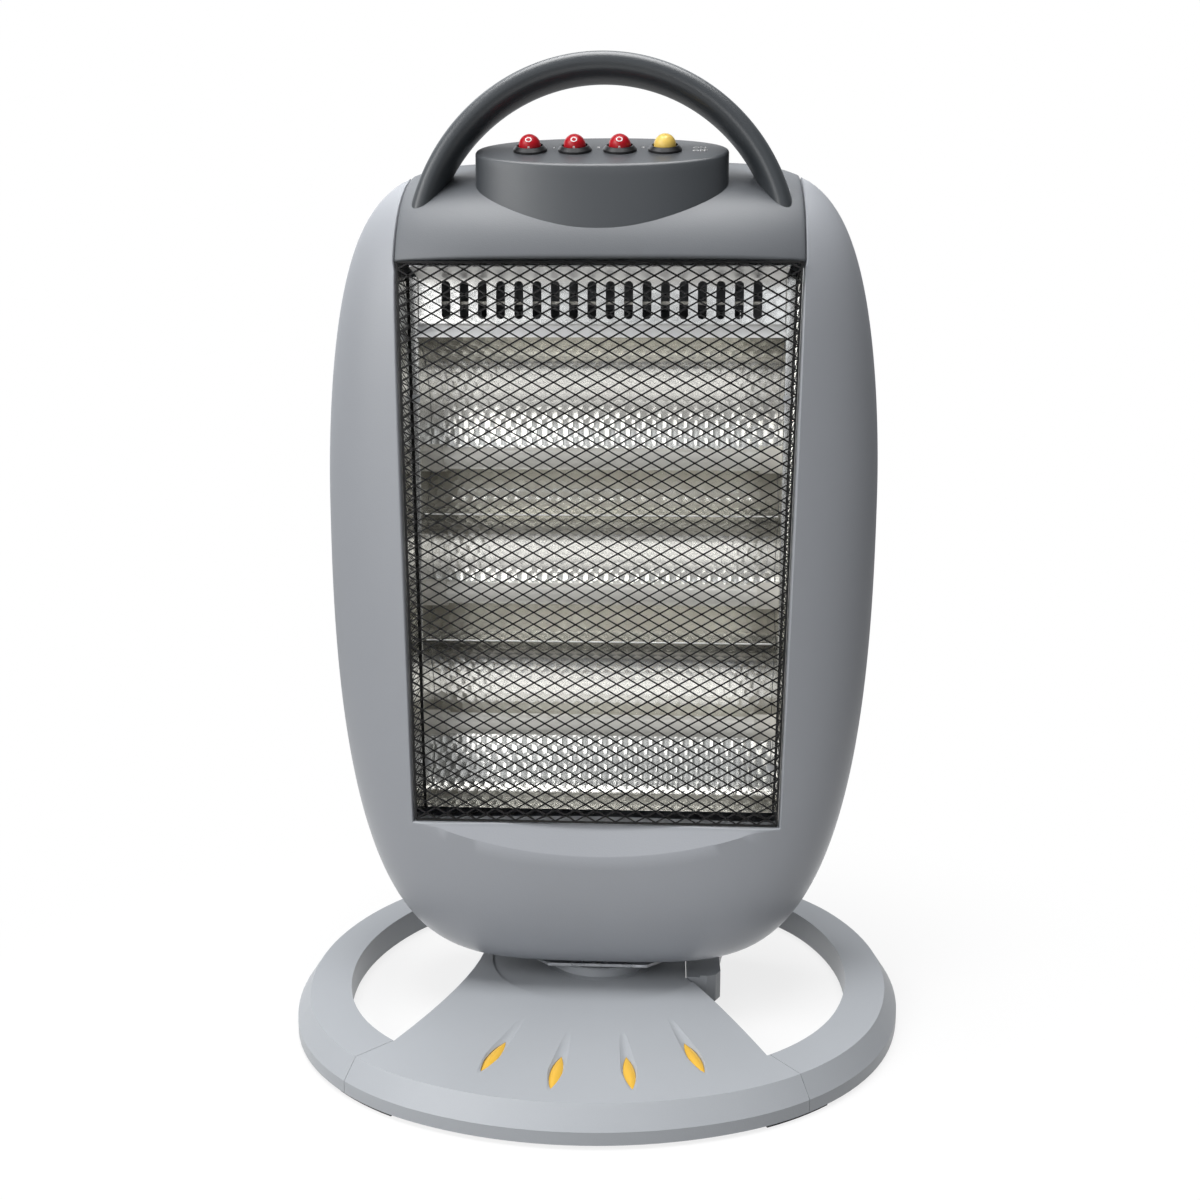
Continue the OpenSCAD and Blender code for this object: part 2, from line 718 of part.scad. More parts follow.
collar_z = case_foot + 1.2 + plunger_travel + 0.1;
module tip_plunger() {
    color(red) translate([0, tip_back, 0]) {
        translate([0, 0, plunger_foot + 1]) cylinder(r = plunger_r, h = plate_z - 1.4 - plunger_foot - 1);
        translate([0, 0, plunger_foot]) cylinder(r1 = plunger_r - 1, r2 = plunger_r, h = 1);
        translate([0, 0, collar_z]) cylinder(r = plunger_r + 1.8, h = 1);
    }
}

// ---------- swivel and swing drive ----------

module slip_washer() {
    color(ceramic) translate([0, 0, table_top]) difference() {
        cylinder(r = turntable_r - 5, h = washer_t);
        translate([0, 0, -1]) cylinder(r = tube_r + run_clear, h = 4);
    }
}

swivel_screw_x = 30;
swivel_screw_y = 18;
module swivel_plate() {
    w = swivel_half_w;
    d = swivel_half_d;
    b = swivel_bevel;
    color(zinc) translate([0, 0, swivel_z]) difference() {
        linear_extrude(swivel_t) polygon([
            [-w + b, -d], [w - b, -d], [w, -d + b], [w, d - b],
            [w - b, d], [-w + b, d], [-w, d - b], [-w, -d + b]
        ]);
        translate([0, 0, -1]) cylinder(r = tube_r + run_clear, h = 4);
        for (x = [-1, 1]) for (y = [-1, 1])
            translate([x * swivel_screw_x, y * swivel_screw_y, -1]) cylinder(r = 2.1, h = 5);
    }
}

module swivel_screws() {
    color(steel)
        for (x = [-1, 1]) for (y = [-1, 1])
            translate([x * swivel_screw_x, y * swivel_screw_y, swivel_z])
                rotate([180, 0, 0]) screw(3.6, 1.8, 2, chassis_top - swivel_z + 2);
}

module pivot_lock_ring() {
    color(steel) translate([0, 0, swivel_top + 0.3]) difference() {
        cylinder(r = 13, h = 3);
        translate([0, 0, -1]) cylinder(r = tube_r + 0.02, h = 6);
    }
}

module chassis_plate() {
    color(zinc) translate([0, 0, chassis_z]) difference() {
        translate([-chassis_half_w, -chassis_half_d, 0])
            cube([2 * chassis_half_w, 2 * chassis_half_d, steel_t]);
        translate([0, 0, -1]) cylinder(r = 15, h = 5);
        for (x = [-1, 1]) for (y = [-1, 1])
            translate([x * swivel_screw_x, y * swivel_screw_y, -1]) cylinder(r = 2.1, h = 5);
    }
}

leg_x = 33;
bridge_half_w = 24;
module motor_bracket() {
    color(zinc) difference() {
        union() {
            for (side = [0, 1]) mirror([side, 0, 0]) {
                translate([leg_x - steel_t, 0, chassis_top]) cube([steel_t, 10, bracket_z + steel_t - chassis_top]);
                translate([leg_x - steel_t, 0, chassis_top]) cube([6, 10, steel_t]);
            }
            translate([-leg_x, 0, bracket_z]) cube([2 * leg_x, 10, steel_t]);
            translate([-bridge_half_w, 0, bracket_z]) cube([2 * bridge_half_w, motor_off + 16, steel_t]);
        }
        translate([0, motor_off, bracket_z - 1]) cylinder(r = shaft_r + 4, h = 5);
        for (side = [-1, 1])
            translate([side * 17, motor_off, bracket_z - 1]) cylinder(r = 1.7, h = 5);
    }
}

module swing_motor() {
    color(zinc) translate([0, motor_off, motor_z]) difference() {
        union() {
            cylinder(r = motor_r, h = motor_h, $fn = 96);
            translate([0, 0, motor_h]) cylinder(r = 9, h = 4);
        }
        translate([0, 0, -1]) cylinder(r = shaft_r + run_clear, h = 11);
        for (side = [-1, 1]) translate([side * 17, 0, -1]) cylinder(r = 1.6, h = 6);
    }
}

module motor_screws() {
    color(steel)
        for (side = [-1, 1])
            translate([side * 17, motor_off, bracket_z])
                rotate([180, 0, 0]) screw(2.8, 1.2, 1.5, 5);
}

module motor_shaft() {
    color(steel) translate([0, motor_off, crank_z]) cylinder(r = shaft_r, h = motor_z + 9 - crank_z);
}

module crank_disc() {
    color(black) difference() {
        union() {
            translate([0, motor_off, crank_z]) cylinder(r = crank_r + 4, h = crank_t);
            translate([0, motor_off + crank_r, arm_z - 1]) cylinder(r = pin_r, h = crank_z - arm_z + 1.5);
        }
        translate([0, motor_off, crank_z - 1]) cylinder(r = shaft_r, h = 8);
    }
}

module terminal_block() {
    color(ceramic) translate([-37, -14, chassis_top]) difference() {
        cube([15, 12, 10]);
        for (x = [4, 11]) translate([x, 6, 5]) cylinder(r = 2, h = 8);
    }
}

// ---------- head shells ----------

// Directions from the middle of the head to the outline, as turns from the right
u_shape_turns = let (
        foot_turn = atan((head_mid - win_foot) / win_foot_half),
        top_turn = atan((top_z(cap_half + 2) - head_mid) / (cap_half + 2)),
        cap_turn = atan((win_top - head_mid) / cap_half))
    concat([for (i = [0:3]) 180 - top_turn + (top_turn - cap_turn) * i / 4],
           [for (i = [0:10]) 180 - cap_turn + (cap_turn + foot_turn) * i / 11],
           [for (i = [0:15]) 180 + foot_turn + (180 - 2 * foot_turn) * i / 15],
           [for (i = [1:11]) 360 - foot_turn + (cap_turn + foot_turn) * i / 11],
           [for (i = [1:4]) 360 + cap_turn + (top_turn - cap_turn) * i / 4]);
band_steps = 8;

// Share of the way to the outline at which a direction leaves the window
function win_share(dx, dz) =
    let (slope = (win_top_half - win_foot_half) / (win_top - win_foot),
         side = (win_half(head_mid)) / (abs(dx) - slope * dz),
         high = cap_half / max(abs(dx), 0.001),
         cut = high * dz > win_top - head_mid - 0.1 ? high : side)
    dz < 0 ? min(cut, (head_mid - win_foot) / -dz) : cut;

function u_band(w) = [for (turn = u_shape_turns)
    let (dx = cos(turn), dz = sin(turn), far = reach(dx, dz, w, 60, 300, 22),
         near = win_share(dx, dz))
    for (j = [0:band_steps])
        let (k = near + (far - near) * ease_out(j / band_steps), x = k * dx, z = head_mid + k * dz)
        [x, j == band_steps ? 0 : front_y(x, z, w), z]];

// Holes through the head's floor for the pivot and the swivel plate's screws
module floor_holes() {
    cylinder(r = 16, h = 40);
    for (x = [-1, 1]) for (y = [-1, 1])
        translate([x * swivel_screw_x, y * swivel_screw_y, 0]) cylinder(r = 2.2, h = 40);
}

module front_shell() {
    color(light_grey) difference() {
        grid_solid(u_band(0), u_band(shell_wall), len(u_shape_turns), band_steps + 1);
        floor_holes();
    }
}

rear_turns = let (a = atan((rear_top - head_mid) / rear_half), b = atan((head_mid - rear_foot) / rear_half))
    concat([for (i = [0:7]) -b + (a + b) * i / 8], [for (i = [0:9]) a + (180 - 2 * a) * i / 10],
           [for (i = [0:7]) 180 - a + (a + b) * i / 8], [for (i = [0:9]) 180 + b + (180 - 2 * b) * i / 10]);

function rear_share(dx, dz) =
    min(rear_half / max(abs(dx), 0.001),
        dz > 0 ? (rear_top - head_mid) / dz : (head_mid - rear_foot) / max(-dz, 0.001));

function rear_band(w) = [for (turn = rear_turns)
    let (dx = cos(turn), dz = sin(turn), far = reach(dx, dz, w, 60, 300, 22),
         near = rear_share(dx, dz))
    for (j = [0:band_steps])
        let (k = near + (far - near) * ease_out(j / band_steps), x = k * dx, z = head_mid + k * dz)
        [x, j == band_steps ? 0 : rear_y(x, z, w), z]];

module rear_shell() {
    color(light_grey) difference() {
        grid_solid(rear_band(shell_wall), rear_band(0), len(rear_turns), band_steps + 1, true);
        floor_holes();
    }
}

// The top cap, from the window's top edge over to the parting line
cap_cols = 20;
cap_rows = 8;
function cap_grid(w, half, foot) = [for (i = [0:cap_cols])
    let (x = half - 2 * half * i / cap_cols, high = top_z(x, w))
    for (j = [0:cap_rows])
        let (z = foot + (high - foot) * ease_out(j / cap_rows))
        [x, j == cap_rows ? 0 : front_y(x, z, w), z]];

// The room behind the cap's skin, to fit the handle and the switch panel to it
module cap_room(grow) {
    skin = cap_grid(-grow, cap_half - seam_gap, win_top);
    grid_solid(skin, [for (p = skin) [p[0], 20, p[2]]], cap_cols + 1, cap_rows + 1);
}

oval_power = 0.93;                                  // squareness of the switch panel's plan
module panel_oval(w) {
    polygon([for (i = [0:63]) let (c = cos(i * 5.625), s = sin(i * 5.625))
        [(panel_half - w) * sign(c) * pow(abs(c), oval_power),
         (panel_half_d - w) * sign(s) * pow(abs(s), oval_power)]]);
}

module top_cap() {
    color(cap_grey) difference() {
        grid_solid(cap_grid(0, cap_half - seam_gap, win_top),
                   cap_grid(shell_wall, cap_half - seam_gap, win_top), cap_cols + 1, cap_rows + 1);
        translate([0, -panel_front, win_top + 27]) linear_extrude(head_up / 3) panel_oval(4);
    }
}

// ---------- rear panel ----------

module slot_hole(len, wide, n = 4) {
    r = wide / 2;
    polygon(concat(
        [for (i = [0:n]) [len / 2 - r + r * sin(180 * i / n), r * cos(180 * i / n)]],
        [for (i = [0:n]) [-len / 2 + r - r * sin(180 * i / n), -r * cos(180 * i / n)]]));
}

rear_screw_x = rear_half - 6;
rear_screw_z = [rear_foot + 6, rear_top - 6];
module rear_panel() {
    gap = seam_gap;
    high = rear_top - rear_foot - 2 * gap;
    pitch = (rear_top - rear_foot - 50) / (louvre_rows - 1);
    color(panel_grey) difference() {
        translate([0, rear_face, rear_foot + gap]) rotate([90, 0, 0]) linear_extrude(rear_t)
            difference() {
                translate([-rear_half + gap, 0]) square([2 * (rear_half - gap), high]);
                for (col = [-1:1]) for (row = [0:louvre_rows - 1])
                    translate([col * (louvre_len + 5), 34 + row * pitch]) slot_hole(louvre_len, louvre_h);
            }
        translate([gland_x, 60, gland_z]) rotate([90, 0, 0]) cylinder(r = 6.1, h = 40);
        for (side = [-1, 1]) for (z = rear_screw_z)
            translate([side * rear_screw_x, 60, z]) rotate([90, 0, 0]) cylinder(r = 1.7, h = 40);
    }
}

module rear_panel_screws() {
    color(steel)
        for (side = [-1, 1]) for (z = rear_screw_z)
            translate([side * rear_screw_x, rear_face, z]) rotate([-90, 0, 0]) screw(3.4, 1.8, 1.6, 9);
}

module cord_gland() {
    color(black) translate([gland_x, rear_face, gland_z]) rotate([-90, 0, 0]) difference() {
        union() {
            translate([0, 0, -rear_t - 6]) cylinder(r = 6, h = rear_t + 7);
            cylinder(r = 8.5, h = 2);
            translate([0, 0, 2]) cylinder(r1 = 6.4, r2 = 5, h = 16);
        }
        translate([0, 0, -20]) cylinder(r = gland_bore_r, h = 60);
    }
}

// ---------- handle and switch panel ----------

module grip_section() {
    polygon([for (i = [0:23]) let (c = cos(i * 15), s = sin(i * 15))
        [grip_t / 2 * sign(c) * pow(abs(c), 0.85), grip_d / 2 * sign(s) * pow(abs(s), 0.85)]]);
}

module carry_handle() {
    color(handle_grey) difference() {
        translate([0, -arch_front, arch_z]) rotate([90, 0, 0])
            rotate_extrude(angle = 163, start = 8.5, $fn = 144) translate([arch_r, 0]) grip_section();
        cap_room(0.15);
    }
}

// Everything above the panel's tilted top, lowered by d
module above_panel(d) {
    translate([0, -panel_front, panel_z]) rotate([panel_tilt, 0, 0])
        translate([-150, -150, -d]) cube([300, 300, 100]);
}

module at_switches() {
    for (i = [0:3]) at_switch(i) children();
}

module at_switch(i) {
    translate([0, -panel_front, panel_z]) rotate([panel_tilt, 0, 0])
        translate([(i - 1.5) * switch_pitch - switch_shift, 0, 0]) children();
}

module switch_panel() {
    color(panel_grey) difference() {
        translate([0, -panel_front, win_top + 3]) linear_extrude(panel_half * 1.5) panel_oval(0);
        above_panel(0);
        difference() {
            translate([0, -panel_front, win_top]) linear_extrude(panel_half * 1.6) panel_oval(panel_wall);
            above_panel(panel_wall);
        }
        cap_room(0.1);
        at_switches() translate([0, 0, -20]) cylinder(r = barrel_r + 0.1, h = 40);
    }
}

barrel_deep = 15;
pocket_deep = 8;
pivot_deep = 1.5;
pocket_r = rocker_r + 0.9;
dome_z = 3.9;                                       // height of the dome's centre above the pivot
module switch_bodies() {
    color(black) at_switches() difference() {
        union() {
            rotate_extrude() polygon([
                [0, 0], [bezel_r, 0], [bezel_r, bezel_h * 0.4], [pocket_r + 0.5, bezel_h], [0, bezel_h]
            ]);
            translate([0, 0, -barrel_deep]) cylinder(r = barrel_r, h = barrel_deep + 1);
            for (x = [-4, 4]) translate([x - 0.4, -2, -barrel_deep - 6]) cube([0.8, 4, 7]);
        }
        translate([0, 0, -pocket_deep]) cylinder(r = pocket_r, h = 20);
        translate([-barrel_r + 0.4, 0, -pivot_deep]) rotate([0, 90, 0])
            cylinder(r = 1 + run_clear, h = 2 * barrel_r - 0.8);
    }
}

// A rocker is a round button with a domed top, tilted so that its front face looks up
module rocker() {
    translate([0, 0, -pivot_deep]) rotate([rocker_turn / 2, 0, 0]) {
        rotate_extrude() polygon(concat(
            [[0, -2], [rocker_r, -2]],
            [for (i = [0:7]) [rocker_r * cos(i * 11.25), dome_z + rocker_r * sin(i * 11.25)]],
            [[0, dome_z + rocker_r]]
        ));
        translate([-barrel_r + 0.8, 0, 0]) rotate([0, 90, 0]) cylinder(r = 1, h = 2 * barrel_r - 1.6);
    }
}

module rocker_low() { color(red) at_switch(0) rocker(); }
module rocker_middle() { color(red) at_switch(1) rocker(); }
module rocker_high() { color(red) at_switch(2) rocker(); }
module rocker_swing() { color(yellow) at_switch(3) rocker(); }

// ---------- grille ----------

mesh_top = win_top - mesh_gap;
mesh_foot = win_foot + mesh_gap;
function mesh_half(z) = win_foot_half - mesh_gap
    + (win_top_half - win_foot_half) * (z - win_foot) / (win_top - win_foot);

// Centres of the mesh's diamonds, every other row shifted by half a pitch
function diamond_row(row) =
    let (high = (mesh_top - mesh_foot - 2 * mesh_edge) / (mesh_rows + 1), z = mesh_foot + mesh_edge + (row + 1) * high,
         pitch = 2 * (mesh_half(z) - mesh_edge) / mesh_cols, odd = row % 2)
    [for (col = [0:mesh_cols - 1 - odd]) [(col - (mesh_cols - 1 - odd) / 2) * pitch, z, pitch, high]];

function diamond(c) =
    let (w = c[2] / 2 - strand_w * 1.1, h = c[3] - strand_w * 0.9)
    [[c[0] - w, c[1]], [c[0], c[1] - h], [c[0] + w, c[1]], [c[0], c[1] + h]];

module mesh_face() {
    rim = [[-mesh_half(mesh_foot), mesh_foot], [mesh_half(mesh_foot), mesh_foot],
           [mesh_half(mesh_top), mesh_top], [-mesh_half(mesh_top), mesh_top]];
    holes = [for (row = [0:mesh_rows - 1]) each [for (c = diamond_row(row)) diamond(c)]];
    points = concat(rim, [for (hole = holes) each hole]);
    paths = concat([[0, 1, 2, 3]], [for (i = [0:len(holes) - 1]) [for (k = [0:3]) 4 + 4 * i + k]]);
    polygon(points, paths);
}

// One side of the mesh box with its row of slots, as a plate in the XZ plane
module mesh_side(lean) {
    rows = 20;
    high = (mesh_top - mesh_foot) / cos(lean);
    pitch = (high - 8) / rows;
    deep = mesh_deep - mesh_t;
    inset = mesh_t / 2;
    points = concat([[0, inset], [deep, inset], [deep, high - inset], [0, high - inset]],
        [for (i = [0:rows - 1]) let (z = 4 + (i + 0.5) * pitch, h = pitch / 2 - strand_w / 2)
            each [[3, z - h], [deep - 5, z - h], [deep - 5, z + h], [3, z + h]]]);
    polygon(points, concat([[0, 1, 2, 3]], [for (i = [0:rows - 1]) [for (k = [0:3]) 4 + 4 * i + k]]));
}

module grille() {
    color(black) translate([0, -mesh_front + mesh_t, 0]) rotate([90, 0, 0])
        linear_extrude(mesh_t) mesh_face();
}

// The mesh box's four sides, behind its face
module grille_sides() {
    lean = atan((mesh_half(mesh_top) - mesh_half(mesh_foot)) / (mesh_top - mesh_foot));
    color(black) translate([0, -mesh_front + mesh_t, 0]) {
        for (side = [0, 1]) mirror([side, 0, 0])
            translate([mesh_half(mesh_foot), 0, mesh_foot]) rotate([0, lean, 0])
                rotate([0, 0, 90]) rotate([90, 0, 0]) translate([0, 0, -mesh_t])
                    linear_extrude(mesh_t) mesh_side(lean);
        translate([-mesh_half(mesh_top) + mesh_t / 2, 0.05, mesh_top - mesh_t])
            cube([2 * mesh_half(mesh_top) - mesh_t, mesh_deep - mesh_t - 0.25, mesh_t]);
        translate([-mesh_half(mesh_foot) + mesh_t / 2, 0.05, mesh_foot])
            cube([2 * mesh_half(mesh_foot) - mesh_t, mesh_deep - mesh_t - 0.25, mesh_t]);
    }
}

clip_heights = [337, 139];
module grille_clips() {
    color(zinc)
        for (side = [0, 1]) mirror([side, 0, 0])
            for (z = clip_heights)
                translate([mesh_half(z) - mesh_t - 4.1, -mesh_rear - 1, z - 2]) cube([4, 1, 4]);
}

// ---------- reflector ----------

function trough(z_low, z_high, y_low, y_high, n = 14) = [for (i = [0:n])
    let (t = i / n, bow = sqrt(max(1 - pow(2 * t - 1, 2), 0)))
    [-(y_low + (y_high - y_low) * t) * (1 - bow) - trough_front * bow, z_low + (z_high - z_low) * t]];

refl_line = concat(
    trough(refl_foot, fold_low, mesh_rear - 0.3, fold_front),
    trough(fold_low, fold_high, fold_front, fold_front),
    trough(fold_high, refl_top, fold_front, lip_front));

module reflector() {
    front = refl_line;
    back = [for (p = backwards(refl_line)) [p[0] + sheet_t, p[1]]];
    color(mirror_alu) rotate([90, 0, 90]) translate([0, 0, -refl_half + 0.1])
        linear_extrude(2 * refl_half - 0.2) polygon(concat(front, back));
}

vent_foot = refl_top + 8;
vent_mid_z = vent_foot + 12.4;
module vent_plate() {
    color(mirror_alu) {
        translate([0, -vent_front + sheet_t, 0]) rotate([90, 0, 0]) linear_extrude(sheet_t)
            difference() {
                translate([-refl_half + 0.1, vent_foot]) square([2 * refl_half - 0.2, mesh_top - 1 - vent_foot]);
                for (i = [0:vent_slots - 1])
                    translate([(i - (vent_slots - 1) / 2) * vent_pitch, vent_mid_z])
                        rotate(90) slot_hole(vent_h, vent_w);
            }
        rotate([90, 0, 90]) translate([0, 0, -refl_half + 0.1]) linear_extrude(2 * refl_half - 0.2)
            polygon([[-lip_front, refl_top + 0.05], [-lip_front + sheet_t, refl_top + 0.05],
                     [-vent_front + sheet_t, vent_foot], [-vent_front + sheet_t, vent_foot + 1],
                     [-vent_front, vent_foot + 1], [-vent_front, vent_foot]]);
    }
}

stay_in = 10.5;                                     // stay strip's ends, in from the vent plate's
stay_gap = 3;                                       // its distance behind the vent plate
module stay_strip() {
    half = refl_half - stay_in;
    color(mirror_alu) translate([0, sheet_t - vent_front, vent_mid_z - 2.4]) {
        translate([-half, stay_gap, 0]) cube([2 * half, sheet_t, 3]);
        for (side = [0, 1]) mirror([side, 0, 0])
            translate([half - sheet_t, 0, 0]) cube([sheet_t, stay_gap + 0.1, 3]);
    }
}

side_out = refl_half + sheet_t;
module side_plates() {
    color(mirror_alu)
        for (side = [0, 1]) mirror([side, 0, 0]) difference() {
            union() {
                translate([refl_half, -mesh_rear, refl_foot]) cube([sheet_t, mesh_rear + 2, mesh_top - 1 - refl_foot]);
                translate([0, sheet_t - mesh_rear, 0]) rotate([90, 0, 0]) linear_extrude(sheet_t) polygon([
                    [refl_half, refl_foot], [mesh_half(refl_foot) + side_lap, refl_foot],
                    [mesh_half(mesh_top) + side_lap, mesh_top - 1], [refl_half, mesh_top - 1]
                ]);
            }
            for (z = lamp_heights)
                translate([refl_half - 5, -lamp_front, z]) rotate([0, 90, 0]) cylinder(r = cap_r + 0.1, h = 20);
        }
}

bracket_heights = [337, 139];
module frame_brackets() {
    y = mesh_rear - sheet_t;
    color(zinc)
        for (side = [0, 1]) mirror([side, 0, 0])
            for (z = bracket_heights) {
                far = min(skin_x(y, z - 8), skin_x(y, z + 8)) - 0.7;
                translate([side_out + 0.05, -y, z - 8]) cube([far - side_out - 0.05, steel_t, 16]);
            }
}

// Distance from the middle to the front shell's inner wall, y in front of the parting line
function skin_x(y, z) =
    head_w(z, shell_wall) * pow(1 - pow(y / front_d(z, shell_wall), shell_power), 1 / shell_power);

// ---------- halogen tubes ----------

module lamp(i) {
    color([0.93, 0.91, 0.86]) translate([-lamp_half, -lamp_front, lamp_heights[i]])
        rotate([0, 90, 0]) difference() {
            cylinder(r = lamp_r, h = 2 * lamp_half);
            translate([0, 0, 3]) cylinder(r = lamp_r - 1.1, h = 2 * lamp_half - 6);
        }
}

module lamp_top() { lamp(0); }
module lamp_middle() { lamp(1); }
module lamp_bottom() { lamp(2); }

module filaments() {
    color(steel)
        for (z = lamp_heights)
            translate([-lamp_half + 3, -lamp_front, z]) rotate([0, 90, 0]) cylinder(r = 1.5, h = 2 * lamp_half - 6);
}

cap_lap = 6;                                        // length of tube inside an end cap
cap_in = lamp_half - cap_lap;
module lamp_end_caps() {
    color(ceramic)
        for (side = [0, 1]) mirror([side, 0, 0])
            for (z = lamp_heights)
                translate([cap_in, -lamp_front, z]) rotate([0, 90, 0]) difference() {
                    cylinder(r = cap_r, h = end_cap_len);
                    translate([0, 0, -1]) cylinder(r = lamp_r + 0.1, h = cap_lap + 1);
                }
}

module lamp_clips() {
    color(zinc)
        for (side = [0, 1]) mirror([side, 0, 0])
            for (z = lamp_heights)
                translate([side_out, -lamp_front, z]) rotate([0, 90, 0]) difference() {
                    translate([-11, -9, 0]) cube([22, 18, 1]);
                    translate([0, 0, -1]) cylinder(r = cap_r + 0.1, h = 4);
                }
}

module thermal_cutoff() {
    color(black) translate([side_out, -12, 352]) rotate([0, 90, 0]) {
        cylinder(r = 8, h = 6);
        cylinder(r = 5, h = 9);
    }
}

// ---------- all pieces ----------

base_front();
base_rear();
accent_lenses();
foot_pads();
hub_plate();
hub_screws();
turntable();
pivot_tube();
pivot_nut();
slotted_arm();
tip_switch_case();
tip_spring();
tip_plunger();
slip_washer();
swivel_plate();
swivel_screws();
pivot_lock_ring();
chassis_plate();
motor_bracket();
swing_motor();
motor_screws();
motor_shaft();
crank_disc();
terminal_block();
front_shell();
rear_shell();
top_cap();
rear_panel();
rear_panel_screws();
cord_gland();
carry_handle();
switch_panel();
switch_bodies();
rocker_low();
rocker_middle();
rocker_high();
rocker_swing();
grille();
grille_sides();
grille_clips();
reflector();
vent_plate();
stay_strip();
side_plates();
frame_brackets();
lamp_top();
lamp_middle();
lamp_bottom();
filaments();
lamp_end_caps();
lamp_clips();
thermal_cutoff();
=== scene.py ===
"""Looks of the halogen heater: finer shells, handle, switch panel, mesh, reflector and lamps
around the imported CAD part, the finish of every surface, and the photograph's camera and light.

Lengths are millimetres until a mesh is made, which turns them into metres. X runs to the
right, Y to the back, Z up, with the origin on the floor under the middle of the base.
"""

import json
from math import atan, cos, pi, radians, sin, tan

import bmesh
import bpy
import numpy as np
from mathutils import Matrix, Vector


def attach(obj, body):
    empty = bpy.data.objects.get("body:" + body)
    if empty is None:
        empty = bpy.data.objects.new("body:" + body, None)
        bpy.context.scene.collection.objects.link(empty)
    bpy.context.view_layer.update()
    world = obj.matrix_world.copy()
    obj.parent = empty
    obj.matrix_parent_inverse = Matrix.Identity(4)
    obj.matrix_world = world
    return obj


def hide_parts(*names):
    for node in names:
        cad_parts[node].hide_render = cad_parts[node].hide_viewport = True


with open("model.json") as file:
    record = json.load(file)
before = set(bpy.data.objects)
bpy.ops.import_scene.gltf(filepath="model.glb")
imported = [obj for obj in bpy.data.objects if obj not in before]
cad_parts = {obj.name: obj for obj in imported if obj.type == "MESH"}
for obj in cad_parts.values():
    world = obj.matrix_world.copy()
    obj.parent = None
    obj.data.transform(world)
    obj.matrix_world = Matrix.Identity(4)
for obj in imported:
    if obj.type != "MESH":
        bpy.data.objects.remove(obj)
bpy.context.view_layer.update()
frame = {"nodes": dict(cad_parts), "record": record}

MM = 0.001

# ---- sizes of the head

HEAD_HALF, HEAD_MID = 150.8, 286.0  # half the width at the widest height, and that height
HEAD_UP, HEAD_DOWN = 182.0, 262.0  # height of the head above and below it
HEAD_FRONT, HEAD_REAR = 60.0, 52.0  # depth before and behind the parting line
WIDE_UP, WIDE_DOWN = (1.93, 0.15), (2.5, 0.233)  # powers of the width above and below
FRONT_UP, REAR_UP = (7.0, 1.16), (9.0, 0.6)  # powers of the depth above, front and rear
DEEP_DOWN = (14.0, 0.333)  # and below
PLAN_POWER = 3.4  # squareness of the head seen from above
WALL = 2.5  # wall of the mouldings
WIN_TOP, WIN_FOOT = 403.0, 111.5  # window's top and lower edges
WIN_TOP_HALF, WIN_FOOT_HALF = 104.0, 98.0  # half its width at those edges
WIN_SLOPE = (WIN_TOP_HALF - WIN_FOOT_HALF) / (WIN_TOP - WIN_FOOT)
CAP_HALF = 104.7  # half the width of the top cap
SEAM = 0.3  # gap at the seams
RIM_R = 1.1  # rounding at a moulding's rim
WITHIN, BEYOND = 60.0, 300.0  # distances from the middle inside and outside the outline
HALVINGS = 26  # steps of a search by halving


def fullness(z, inset, upper, lower):
    """Share of a full measure left at height z: one less a power of the height's share, all to
    another power. The two powers differ above and below the widest height."""
    up = z >= HEAD_MID
    h = np.abs(z - HEAD_MID) / (np.where(up, HEAD_UP, HEAD_DOWN) - inset)
    left = np.clip(1 - h ** np.where(up, upper[0], lower[0]), 0, 1)
    return left ** np.where(up, upper[1], lower[1])


def half_width(z, inset=0.0):
    """Half-width of the head at height z. inset moves the surface inwards."""
    return (HEAD_HALF - inset) * fullness(z, inset, WIDE_UP, WIDE_DOWN)


def round_off(x, half):
    """Share of the depth left at distance x from the middle: a superellipse in plan."""
    share = np.clip(np.abs(x) / np.maximum(half, 1e-3), 0, 1)
    return np.clip(1 - share**PLAN_POWER, 0, 1) ** (1 / PLAN_POWER)


def front_skin(x, z, inset=0.0):
    """Y of the head's front at a point of the elevation."""
    deep = (HEAD_FRONT - inset) * fullness(z, inset, FRONT_UP, DEEP_DOWN)
    return -deep * round_off(x, half_width(z, inset))


def rear_skin(x, z, inset=0.0):
    """Y of the head's rear at a point of the elevation."""
    deep = (HEAD_REAR - inset) * fullness(z, inset, REAR_UP, DEEP_DOWN)
    return deep * round_off(x, half_width(z, inset))


def top_height(x, inset=0.0):
    """Height of the head's outline at distance x from the middle."""
    share = np.clip(np.abs(x) / (HEAD_HALF - inset), 0, 1)
    return HEAD_MID + (HEAD_UP - inset) * (1 - share ** (1 / WIDE_UP[1])) ** (1 / WIDE_UP[0])


def halved(low, high, inside):
    """The value between low and high at which inside ends, found by halving."""
    for _ in range(HALVINGS):
        mid = (low + high) / 2
        ok = inside(mid)
        low, high = np.where(ok, mid, low), np.where(ok, high, mid)
    return (low + high) / 2


def ray_length(turns, inside, low=WITHIN):
    """Distance along each turn at which inside(x, z) ends."""
    return halved(low + 0 * turns, BEYOND + 0 * turns,
                  lambda reach: inside(reach * np.cos(turns), reach * np.sin(turns)))


def reach_to(edge, share):
    """Distance at which a turn reaches an edge: the edge's own distance over the turn's share
    of a step towards it."""
    return edge / np.maximum(share, 1e-3)


def edge_drop(distance, radius):
    """How far a rounded edge falls below the surface at a distance from it: a quarter circle."""
    gap = radius - np.clip(distance, 0, radius)
    return radius - np.sqrt(radius * radius - gap * gap)


def ease(value, low, high):
    """0 below low, 1 above high, and 3 t^2 - 2 t^3 between them."""
    t = np.clip((value - low) / (high - low), 0, 1)
    return t * t * (3 - 2 * t)


def around(count):
    """Even turns once round, the first at zero."""
    return np.linspace(0, 2 * pi, count, endpoint=False)


# ---- mesh helpers


